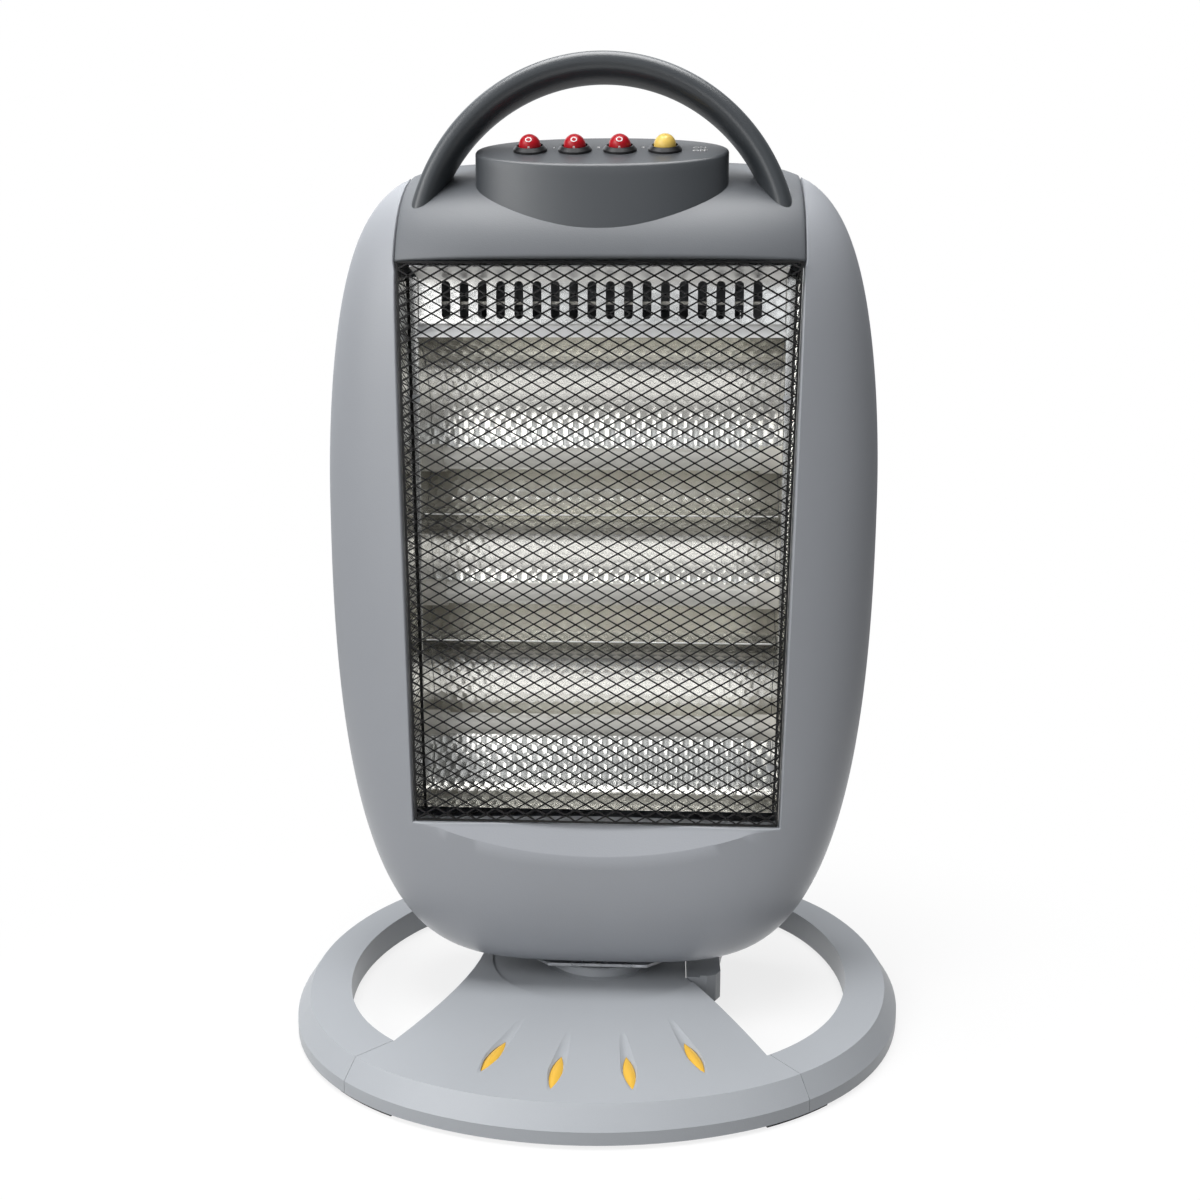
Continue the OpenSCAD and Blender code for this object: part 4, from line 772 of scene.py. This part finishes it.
def rocker_marks(k, name):
    """A ring near the dome's crown and a bar below it, laid on the dome: each is a strip of
    points at a given fall from the crown and a given angle to the side, in radians, with a
    face just above the dome's surface and one below it."""
    t = around(32)
    ring = [(RING_AT + r * np.cos(t) * RING_TALL, r * np.sin(t)) for r in RING_R]
    bar = [(BAR_ENDS, np.array([side, side])) for side in (-BAR_HALF, BAR_HALF)]
    parts = []
    for strip, closed in ((ring, True), (bar, False)):
        rows = []
        for lift in MARK_LIFTS:
            wide, tall = ROCKER_R + lift, ROCKER_R - DOME_FLAT + lift
            for fall, side in strip if lift > 0 else strip[::-1]:
                rows.append(rocker_point(k, wide * np.sin(side),
                                         DOME_UP + tall * np.cos(fall) * np.cos(side),
                                         -wide * np.sin(fall) * np.cos(side)))
        parts.append(round_trip(np.stack(rows)) if closed else tube(np.stack(rows, axis=1)))
    add_piece(name + "_marks", *joined(parts), name, "ceramic", finish=LEGEND)


# ---- mesh

MESH_FRONT, MESH_DEEP = 52.0, 22.0  # face of the mesh and depth of its sides
MESH_T = 0.6  # thickness of the face's strands
DIAMOND_W, DIAMOND_H = 11.0, 6.2  # one diamond of the expanded mesh
STRAND, SIDE_STRAND = 0.75, 0.3  # width of a strand, and half of it at the sides
RIM_WIRE, RIM_AT = 1.0, 0.996  # wire round the face, and its place's share of the half-width
MESH_GAP = 1.0  # room between the mesh and the window
MESH_TOP, MESH_FOOT = WIN_TOP - MESH_GAP, WIN_FOOT + MESH_GAP
INSET, SIDE_INSET = 0.4, 0.45  # middle of the outermost strands, in from the mesh's outline


def mesh_half(z):
    """Half-width of the mesh's face at height z."""
    return WIN_FOOT_HALF - MESH_GAP + WIN_SLOPE * (z - WIN_FOOT)


def diamond_strands(half_low, half_high, low, high, tall, wide):
    """Starts and ends, in a plane, of the strands of an expanded mesh: two sets of slanted
    lines that cross at every other point of a grid fitted to a trapezium."""
    rows = max(2, int(round((high - low) / (tall / 2))))
    cols = 2 * max(1, int(round((half_low + half_high) / wide)))
    v = np.arange(rows + 1)
    u = np.arange(cols + 1)
    z = low + (high - low) * v / rows
    half = half_low + (half_high - half_low) * v / rows
    x = -half[:, None] + 2 * half[:, None] * u[None] / cols
    grid = np.stack([x, np.broadcast_to(z[:, None], x.shape)], axis=-1)
    r, c = np.meshgrid(np.arange(rows), np.arange(cols), indexing="ij")
    even = ((r + c) % 2 == 0)[..., None]
    a = np.where(even, grid[:-1, :-1], grid[:-1, 1:])
    b = np.where(even, grid[1:, 1:], grid[1:, :-1])
    return a.reshape(-1, 2), b.reshape(-1, 2)


def grille():
    """The black expanded mesh: a face of diamonds with a wire round it."""
    a, b = diamond_strands(mesh_half(MESH_FOOT) - INSET, mesh_half(MESH_TOP) - INSET,
                           MESH_FOOT + INSET, MESH_TOP - INSET, DIAMOND_H, DIAMOND_W)
    front = -MESH_FRONT + MESH_T / 2

    def on_face(p):
        return np.stack([p[:, 0], np.full(len(p), front), p[:, 1]], axis=-1)

    foot, top = mesh_half(MESH_FOOT) * RIM_AT, mesh_half(MESH_TOP) * RIM_AT
    rim = on_face(np.array([[-foot, MESH_FOOT], [foot, MESH_FOOT], [top, MESH_TOP],
                            [-top, MESH_TOP]]))
    parts = [bars(on_face(a), on_face(b), STRAND, MESH_T),
             bars(rim, np.roll(rim, -1, axis=0), RIM_WIRE, RIM_WIRE)]
    add_piece("mesh_face", *joined(parts), "head", "mesh_black", "grille", crease=30,
              turn_out=False)


def grille_sides():
    """The mesh's sides: the same diamonds, seen end on, bent back round the window's edge."""

    def back(share):
        return share * (MESH_DEEP - 2 * MESH_T) - MESH_FRONT + MESH_T

    parts = []
    for side in (-1, 1):
        ends = diamond_strands(0.5, 0.5, MESH_FOOT + 0.5, MESH_TOP - 0.5, DIAMOND_H, 1.0)
        bent = [np.stack([side * (mesh_half(p[:, 1]) - SIDE_INSET), back(p[:, 0] + 0.5),
                          p[:, 1]], axis=-1) for p in ends]
        parts.append(strips(*bent, SIDE_STRAND))
    for z in (MESH_FOOT + INSET, MESH_TOP - INSET):
        half = mesh_half(z) - 0.6
        ends = diamond_strands(half, half, 0, 1, 1.0, DIAMOND_W)
        flat = [np.stack([p[:, 0], back(p[:, 1]), np.full(len(p), z)], axis=-1) for p in ends]
        parts.append(strips(*flat, SIDE_STRAND))
    for side in (-1, 1):
        foot, head = [[[side * (mesh_half(z) - SIDE_INSET), back(1), z + up]]
                      for z, up in ((MESH_FOOT, INSET), (MESH_TOP, -INSET))]
        parts.append(strips(foot, head, 2 * SIDE_STRAND))
    add_piece("mesh_sides", *joined(parts), "head", "mesh_black", "grille_sides", crease=30,
              turn_out=False)


# ---- reflector

SHEET = 0.8  # thickness of the bright sheets
REFL_HALF = 96.9  # half the reflector's width
FOLD_FRONT, TROUGH_FRONT = 26.0, 3.0  # how far in front its folds and troughs are
REFL_HEIGHTS = (113.6, 207.0, 276.0, 368.0)  # its foot, its two folds and its top
REFL_FRONTS = (29.7, FOLD_FRONT, FOLD_FRONT, 36.0)  # how far in front each of them is
# Painted shade on the reflector: brightness taken off its colour, and the places between which
# the loss grows: heights, heights from a fold, and distances from the middle
PAINTED_SHADE_TOP, PAINTED_SHADE_FOOT = (0.08, 268, 290), (0.28, 160, 140)
PAINTED_SHADE_FOLD, PAINTED_SHADE_END = (0.52, -15, -10), (0.32, 74, 90)


def painted_shade_loss(place, share, start, end):
    """Painted shade at a place, as brightness lost: none up to start, and share past end."""
    return share * ease(place, start, end)


def painted_sheet_shade(x, z):
    """Brightness left on the sheet after painted shade, which stands in for darker reflections:
    low under the two folds and at the ends, a little lower in the top trough and at the foot."""
    shade = 1 - painted_shade_loss(z, *PAINTED_SHADE_TOP) - painted_shade_loss(z, *PAINTED_SHADE_FOOT)
    for fold in REFL_HEIGHTS[1:3]:
        shade = shade - painted_shade_loss(z - fold, *PAINTED_SHADE_FOLD) * (z < fold)
    return shade * (1 - painted_shade_loss(np.abs(x), *PAINTED_SHADE_END))


def reflector():
    """The bright sheet behind the tubes: three half-elliptic troughs one above another. Its
    own coordinates run across it and along its section."""
    line = []
    for k in range(3):
        t = np.linspace(0, 1, 25)[: 25 if k == 2 else 24]
        bow = np.sqrt(np.clip(1 - (2 * t - 1) ** 2, 0, 1))
        edge = REFL_FRONTS[k] + (REFL_FRONTS[k + 1] - REFL_FRONTS[k]) * t
        z = REFL_HEIGHTS[k] + (REFL_HEIGHTS[k + 1] - REFL_HEIGHTS[k]) * t
        line.append(np.stack([-edge * (1 - bow) - TROUGH_FRONT * bow, z], axis=-1))
    line = np.concatenate(line)
    across = np.linspace(-REFL_HALF, REFL_HALF, 25)
    outer = swept(line, across)
    piece = add_piece("reflector_troughs", *thick_grid(outer, outer + [0.0, SHEET, 0.0]),
                      "head", "reflector_sheet", "reflector", finish=DIMPLED, turn_out=False)
    steps = np.linalg.norm(np.diff(line, axis=0), axis=1)
    along = np.concatenate([[0.0], np.cumsum(steps)])
    flat = swept(np.stack([along, along], axis=-1), across)[..., :2].reshape(-1, 2) * MM
    # painted shade for each point of the sheet, front and back
    shade = painted_sheet_shade(outer[..., 0], outer[..., 2]).ravel()
    layer = piece.data.attributes.new(PAINTED_SHADE_LAYER, "FLOAT", "POINT")
    layer.data.foreach_set("value", np.tile(shade, 2))
    corners = np.empty(len(piece.data.loops), dtype=np.int32)
    piece.data.loops.foreach_get("vertex_index", corners)
    layer = piece.data.uv_layers.new(name=SHEET_PLACE)
    layer.data.foreach_set("uv", np.tile(flat, (2, 1))[corners].ravel())
    point_faces_out(piece)


# ---- vent plate

VENT_FRONT, VENT_FOOT, VENT_MID = 29.6, 376.0, 388.4  # its face, foot and slots' middle
VENT_TOP = 399.3  # its top, where it is bent forward under the mesh's top side
HOOD_FRONT, HOOD_TOP = 49.5, 400.3  # front edge of the bent part
VENT_COUNT, VENT_PITCH, VENT_W, VENT_H = 18, 9.69, 4.8, 19.6  # slots, pitch, width, height
LIP_FRONT, LIP_TOP, LIP_BACK = 36.0, 374.0, 2.6  # lip above the reflector, leaning back
STAY_IN, STAY_DROP = 11.0, 0.9  # stay wire's ends, in from the plate's, and its drop
STAY_BACK, STAY_TURN, STAY_R = 2.6, 1.4, 0.8  # its distance from the plate, turned ends, radius


def vent_plate():
    """The bright plate with a row of round-ended slots: each slot is a ring of points joined
    to its own rectangle of sheet, and the lip below and the hood above are bent strips."""
    c, s = np.cos(around(32)), np.sin(around(32))
    level = np.abs(s) < 1e-6
    r = VENT_W / 2
    hole = np.stack([r * c, np.sign(s) * (VENT_H / 2 - r) + r * s], axis=-1)
    hole[level, 1] = 0
    low, high = VENT_FOOT - VENT_MID, VENT_TOP - VENT_MID
    reach = np.minimum(VENT_PITCH / 2 / np.maximum(np.abs(c), 1e-6),
                       np.where(s >= 0, high, low) / np.where(level, 1e-6, s))
    cell = np.stack([reach * c, reach * s], axis=-1)
    for want in np.array([[1, high], [-1, high], [-1, low], [1, low]]) * [VENT_PITCH / 2, 1]:
        cell[np.argmin(np.linalg.norm(cell - want, axis=1))] = want
    parts = []
    for k in range(VENT_COUNT):
        middle = (k - (VENT_COUNT - 1) / 2) * VENT_PITCH
        rings = [np.stack([middle + loop[:, 0], np.full(len(loop), -VENT_FRONT + y),
                           VENT_MID + loop[:, 1]], axis=-1)
                 for loop, y in ((cell, 0), (hole, 0), (hole, SHEET), (cell, SHEET))]
        parts.append(round_trip(np.stack(rings)))
    edge = VENT_COUNT * VENT_PITCH / 2
    upright = [[-VENT_FRONT, VENT_FOOT], [-VENT_FRONT, VENT_TOP]]
    for side in (-1, 1):
        end = swept(upright, side * np.array([edge, REFL_HALF]))
        parts.append(thick_grid(end, end + [0.0, SHEET, 0.0]))
    add_piece("vent_sheet", *joined(parts), "head", "reflector_sheet", "vent_plate")
    lip = [[-LIP_FRONT, REFL_HEIGHTS[3]], [-LIP_FRONT + LIP_BACK, LIP_TOP],
           [-LIP_FRONT + LIP_BACK + 0.8, LIP_TOP + 1.2], [-VENT_FRONT, VENT_FOOT + 0.4]]
    hood = [[-VENT_FRONT, VENT_TOP - 0.3], [-VENT_FRONT - 1.5, VENT_TOP + 0.2],
            [-HOOD_FRONT, HOOD_TOP]]
    bright = []
    for line, thick in ((lip, [0.0, SHEET, 0.0]), (hood, [0.0, 0.2, SHEET])):
        outer = swept(line, np.linspace(-REFL_HALF, REFL_HALF, 9))
        bright.append(thick_grid(outer, outer + thick))
    folds = [[side * (REFL_HALF - 1), -FOLD_FRONT - 0.3, z] for side in (-1, 1)
             for z in REFL_HEIGHTS[1:3]]
    bright.append(strips(folds[:2], folds[2:], 0.4))
    add_piece("vent_lip", *joined(bright), "head", "reflector_sheet", finish=WORN)


def stay_wire():
    """The thin bright strip seen through the slots, with its two ends turned to the plate."""
    half, back, mid = REFL_HALF - STAY_IN, -VENT_FRONT + STAY_BACK, VENT_MID - STAY_DROP
    places = [[-half, back - STAY_TURN, mid], [-half, back, mid], [half, back, mid],
              [half, back - STAY_TURN, mid]]
    add_piece("stay_wire", *strips(places[:-1], places[1:], STAY_R), "head", "ceramic",
              "stay_strip")


def side_linings():
    """Bright sheets outside the mesh's sides, each a bent strip: a wall beside the mesh, a
    flange behind it and a wall back to the reflector's end."""
    levels = np.linspace(REFL_HEIGHTS[0] + 1, MESH_TOP - 2, 25)
    edge = mesh_half(levels)
    ends = REFL_HALF + 0 * edge
    line = [(edge + 0.25, -48.0), (edge + 0.25, -31.0), (edge - 0.2, -30.3), (ends + 0.6, -30.3),
            (ends + 0.2, -29.8), (ends + 0.2, 2.0)]
    away = np.array([[0.5, 0], [0.5, 0.35], [0.4, 0.5], [0.35, 0.5], [0.45, 0.4], [0.5, 0]])
    parts = []
    for side in (-1, 1):
        outer = np.stack([np.stack([side * x, y + 0 * x, levels], axis=-1) for x, y in line],
                         axis=1)
        inner = outer + np.stack([side * away[:, 0], away[:, 1], 0 * away[:, 0]], axis=-1)
        parts.append(thick_grid(outer, inner))
    add_piece("side_linings", *joined(parts), "head", "reflector_sheet", "side_plates")


# ---- lenses

LENS_LEN, LENS_W = 31.0, 5.6  # length and width between its points and arcs
LENS_CROWN, LENS_RIM, LENS_FOOT = 1.0, 1.3, 3.2  # crown, and depths below the base's top
BASE_TOP = 17.6
LENS_TURN = radians(2.4)  # turn of all four together
LENS_SPOTS = ((48.0, 121.0, 15.0), (17.0, 135.5, 5.5))  # X, distance to the front, turn


def turned(x, y, turn):
    """Points turned about the origin of a plane."""
    return x * cos(turn) - y * sin(turn), x * sin(turn) + y * cos(turn)


def accent_lenses():
    """Four pointed lenses: two arcs bound each, and its top is crowned along and across."""
    a, b = LENS_LEN / 2, LENS_W / 2
    r = (a * a + b * b) / (2 * b)
    u = np.sin(np.linspace(-pi / 2, pi / 2, 41))[:, None] * (a - 0.02)
    v = np.sin(np.linspace(-pi / 2, pi / 2, 15))[None]
    wide = np.sqrt(r * r - u * u) - (r - b)
    top = BASE_TOP - LENS_RIM + LENS_CROWN * (1 - v * v) * (1 - (u / a) ** 2)
    parts = []
    for side in (-1, 1):
        for sx, sy, turn in LENS_SPOTS:
            px, py = turned(wide * v, u + 0 * v, radians(turn) * side)
            gx, gy = turned(px + side * sx, py - sy, LENS_TURN)
            parts.append(thick_grid(np.stack([gx, gy, top], axis=-1),
                                    np.stack([gx, gy, BASE_TOP - LENS_FOOT + 0 * gx], axis=-1)))
    add_piece("lens_row", *joined(parts), "base", "amber_lens", "accent_lenses")


# ---- legends

NUMBER_SIZE, NUMBER_SIDE, NUMBER_UP = 3.6, 11.8, 6.0  # size and place beside a switch
WORD_SIZE, WORD_SIDE, WORD_UPS = 4.4, 18.0, (4.6, -1.4)  # and of the two words
LEGEND_THICK, LEGEND_BOLD, LEGEND_UP = 0.04, 0.09, 0.06  # half thickness, swelling, height


def legend_text(words, size, x, y):
    """Small white lettering, made a mesh and laid on the panel's tilted top."""
    name = "legend_" + words.lower()
    curve = bpy.data.curves.new(name, "FONT")
    curve.body = words
    curve.size = size * MM
    curve.extrude = LEGEND_THICK * MM
    curve.offset = LEGEND_BOLD * MM
    curve.align_x = curve.align_y = "CENTER"
    maker = in_scene(name, curve)
    mesh = settled_mesh(maker)
    bpy.data.objects.remove(maker)
    place = Vector(panel_frame(x, y, LEGEND_UP)) * MM
    mesh.transform(Matrix.Translation(place) @ Matrix.Rotation(PANEL_TILT, 4, "X"))
    mesh.materials.clear()
    mesh.materials.append(LEGEND)
    piece = in_scene(name, mesh)
    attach(piece, "head")


def legends():
    """Plain numbers beside the red switches and ON and OFF beside the yellow one."""
    for k, words in enumerate("123"):
        legend_text(words, NUMBER_SIZE, switch_middle(k) + NUMBER_SIDE, NUMBER_UP)
    for words, up in zip(("ON", "OFF"), WORD_UPS):
        legend_text(words, WORD_SIZE, switch_middle(3) + WORD_SIDE, up)


# ---- camera and light

CAMERA_AT = (40.63, -587.6, 262.21)
CAMERA_TURN, CAMERA_DOWN, CAMERA_ROLL = radians(2.15), radians(6.32), radians(0.52)
FOCAL_PX, FRAME_PX = 1027.92, 1200.0
CENTRE_PX = (635.14, 655.15)  # where the camera's axis meets the photograph
SENSOR = 36.0  # width of the sensor, in millimetres

SKY, SKY_POWER = (0.93, 0.96, 1.0, 1), 0.13  # its tone, and its power as light
# What bright metal mirrors: brightness of the room by the rise above the horizon, then by the
# direction from left to right, and of the floor
ROOM_RISES = ((0.0, 0.75), (0.15, 0.9), (0.40, 1.0), (0.56, 0.85), (0.68, 1.4), (0.80, 0.8),
              (0.95, 1.2))
ROOM_SIDES = ((0.0, 0.8), (0.22, 1.0), (0.30, 2.0), (0.38, 0.6), (0.50, 0.9), (0.58, 1.5),
              (0.66, 0.45), (0.80, 0.3), (1.0, 0.25))
ROOM_FLOOR = (1.5, 0.5)  # near the object and away from it
ROOM_NEAR, ROOM_FAR = 0.35, 1.0  # distances between which it changes
LAMP_AIM = (0, 0, 0.26)  # the middle of the object, in metres
LAMPS = [  # name, place, size and power of each soft lamp
    ("key", (-1.35, -1.25, 1.2), 0.9, 18.5),
    ("low", (-0.8, -1.6, 0.30), 0.9, 7.0),
    ("top", (-0.1, -0.25, 2.0), 1.3, 45.0),
]

FLOOR_SIZE = 30
FLOOR_NEAR, FLOOR_FAR = 0.12, 0.42  # distances over which the floor fades to plain white
FLOOR_BOUNCE = (0.28, 0.28, 0.28, 1)  # tone with which the floor lights the object
FLOOR_PAPER = (0.85, 0.85, 0.85, 1)  # and tone that the camera sees
FLOOR_LEAST = 0.80  # share of plain white that is always mixed in


def camera():
    """A camera at the photograph's place: turned, tipped down and rolled, with the frame
    shifted so that its axis meets the picture at CENTRE_PX."""
    back = Vector((sin(CAMERA_TURN) * cos(CAMERA_DOWN), -cos(CAMERA_TURN) * cos(CAMERA_DOWN),
                   sin(CAMERA_DOWN)))
    level = Vector((cos(CAMERA_TURN), sin(CAMERA_TURN), 0))
    up = back.cross(level)
    right = level * cos(CAMERA_ROLL) + up * sin(CAMERA_ROLL)
    above = up * cos(CAMERA_ROLL) - level * sin(CAMERA_ROLL)
    data = bpy.data.cameras.new("photo_camera")
    data.sensor_width = SENSOR
    data.lens = FOCAL_PX / FRAME_PX * SENSOR
    data.shift_x = (FRAME_PX / 2 - CENTRE_PX[0]) / FRAME_PX
    data.shift_y = (CENTRE_PX[1] - FRAME_PX / 2) / FRAME_PX
    data.clip_start, data.clip_end = 0.01, 100
    eye = in_scene("photo_camera", data)
    turn = Matrix((right, above, back)).transposed().to_4x4()
    eye.matrix_world = Matrix.Translation(Vector(CAMERA_AT) * MM) @ turn
    bpy.context.scene.camera = eye


def soft_lamp(name, place, size, power):
    """A square area lamp pointed at the middle of the object."""
    data = bpy.data.lights.new(name, "AREA")
    data.shape = "SQUARE"
    data.size = size
    data.energy = power
    away = Vector(place) - Vector(LAMP_AIM)
    turn = away.to_track_quat("Z", "Y").to_matrix().to_4x4()
    in_scene(name, data).matrix_world = Matrix.Translation(Vector(place)) @ turn


def choose(tree, share, otherwise, chosen):
    """A shader that is chosen where share is 1, and otherwise where it is 0."""
    return put(tree, "MixShader", {"Fac": share, 1: otherwise, 2: chosen}).outputs[0]


def floor_paper():
    """White paper which, as the camera sees it, fades to plain white away from the object:
    the distance from the middle drives the mix. Bright metal mirrors its own tone."""
    paper, tree, shader = blank("white_floor", Roughness=0.9)
    away = put(tree, "VectorMath", {0: object_place(tree)}, operation="LENGTH").outputs["Value"]
    fade = put(tree, "MapRange", {"Value": away, "From Min": FLOOR_NEAR, "From Max": FLOOR_FAR,
                                  "To Min": FLOOR_LEAST}, interpolation_type="SMOOTHSTEP")
    path = put(tree, "LightPath").outputs
    tone = blend_tones(tree, path["Is Camera Ray"], FLOOR_BOUNCE, FLOOR_PAPER)
    tree.links.new(tone, shader.inputs["Base Color"])
    seen = reckon(tree, "MULTIPLY", path["Is Camera Ray"], fade.outputs["Result"])
    lit = choose(tree, seen, shader.outputs[0], put(tree, "Emission").outputs[0])
    dim = put(tree, "MapRange", {"Value": away, "From Min": ROOM_NEAR, "From Max": ROOM_FAR,
                                 "To Min": ROOM_FLOOR[0], "To Max": ROOM_FLOOR[1]})
    glow = put(tree, "Emission", {"Strength": dim.outputs["Result"]}).outputs[0]
    tree.links.new(choose(tree, path["Is Glossy Ray"], lit, glow),
                   tree.nodes["Material Output"].inputs["Surface"])
    return paper


def mirrored_room(tree):
    """Brightness that bright metal sees: one level by the rise above the horizon, times one
    by the direction from left to right."""
    way = put(tree, "SeparateXYZ", {"Vector": put(tree, "TexCoord").outputs["Generated"]}).outputs
    side = put(tree, "MapRange", {"From Min": -1.0, "Value": way["X"]}).outputs["Result"]
    levels = []
    for table, where in ((ROOM_RISES, way["Z"]), (ROOM_SIDES, side)):
        ramp = put(tree, "ValToRGB", {"Fac": where})
        ramp.color_ramp.interpolation = "EASE"
        stops = ramp.color_ramp.elements
        stops.remove(stops[1])
        for k, (place, grey) in enumerate(table):
            stop = stops[0] if k == 0 else stops.new(place)
            stop.position, stop.color = place, (grey, grey, grey, 1)
        levels.append(ramp.outputs["Color"])
    return reckon(tree, "MULTIPLY", *levels)


def studio():
    """A white floor that fades to white, soft lamps above and to the left, and a sky that is
    brighter in reflections than as light."""
    world = bpy.data.worlds.new("studio")
    bpy.context.scene.world = world
    world.use_nodes = True
    tree = world.node_tree
    path = put(tree, "LightPath").outputs
    power = put(tree, "MapRange", {"Value": path["Is Glossy Ray"], "To Min": SKY_POWER,
                                   "To Max": mirrored_room(tree)}).outputs["Result"]
    sky = put(tree, "Background", {"Color": SKY, "Strength": power}).outputs[0]
    white = put(tree, "Background", {"Color": (1, 1, 1, 1)}).outputs[0]
    tree.links.new(choose(tree, path["Is Camera Ray"], sky, white),
                   tree.nodes["World Output"].inputs["Surface"])
    bpy.ops.mesh.primitive_plane_add(size=FLOOR_SIZE, location=(0, 0, 0))
    floor = bpy.context.object
    floor.name = "floor"
    floor.data.materials.append(floor_paper())
    for lamp in LAMPS:
        soft_lamp(*lamp)
    bpy.context.scene.view_settings.view_transform = "Standard"


# ---- the scene

finish_cad_nodes()
front_shell()
rear_shell()
top_cap()
carry_handle()
switch_panel()
rockers()
grille()
grille_sides()
reflector()
vent_plate()
stay_wire()
side_linings()
accent_lenses()
legends()
camera()
studio()
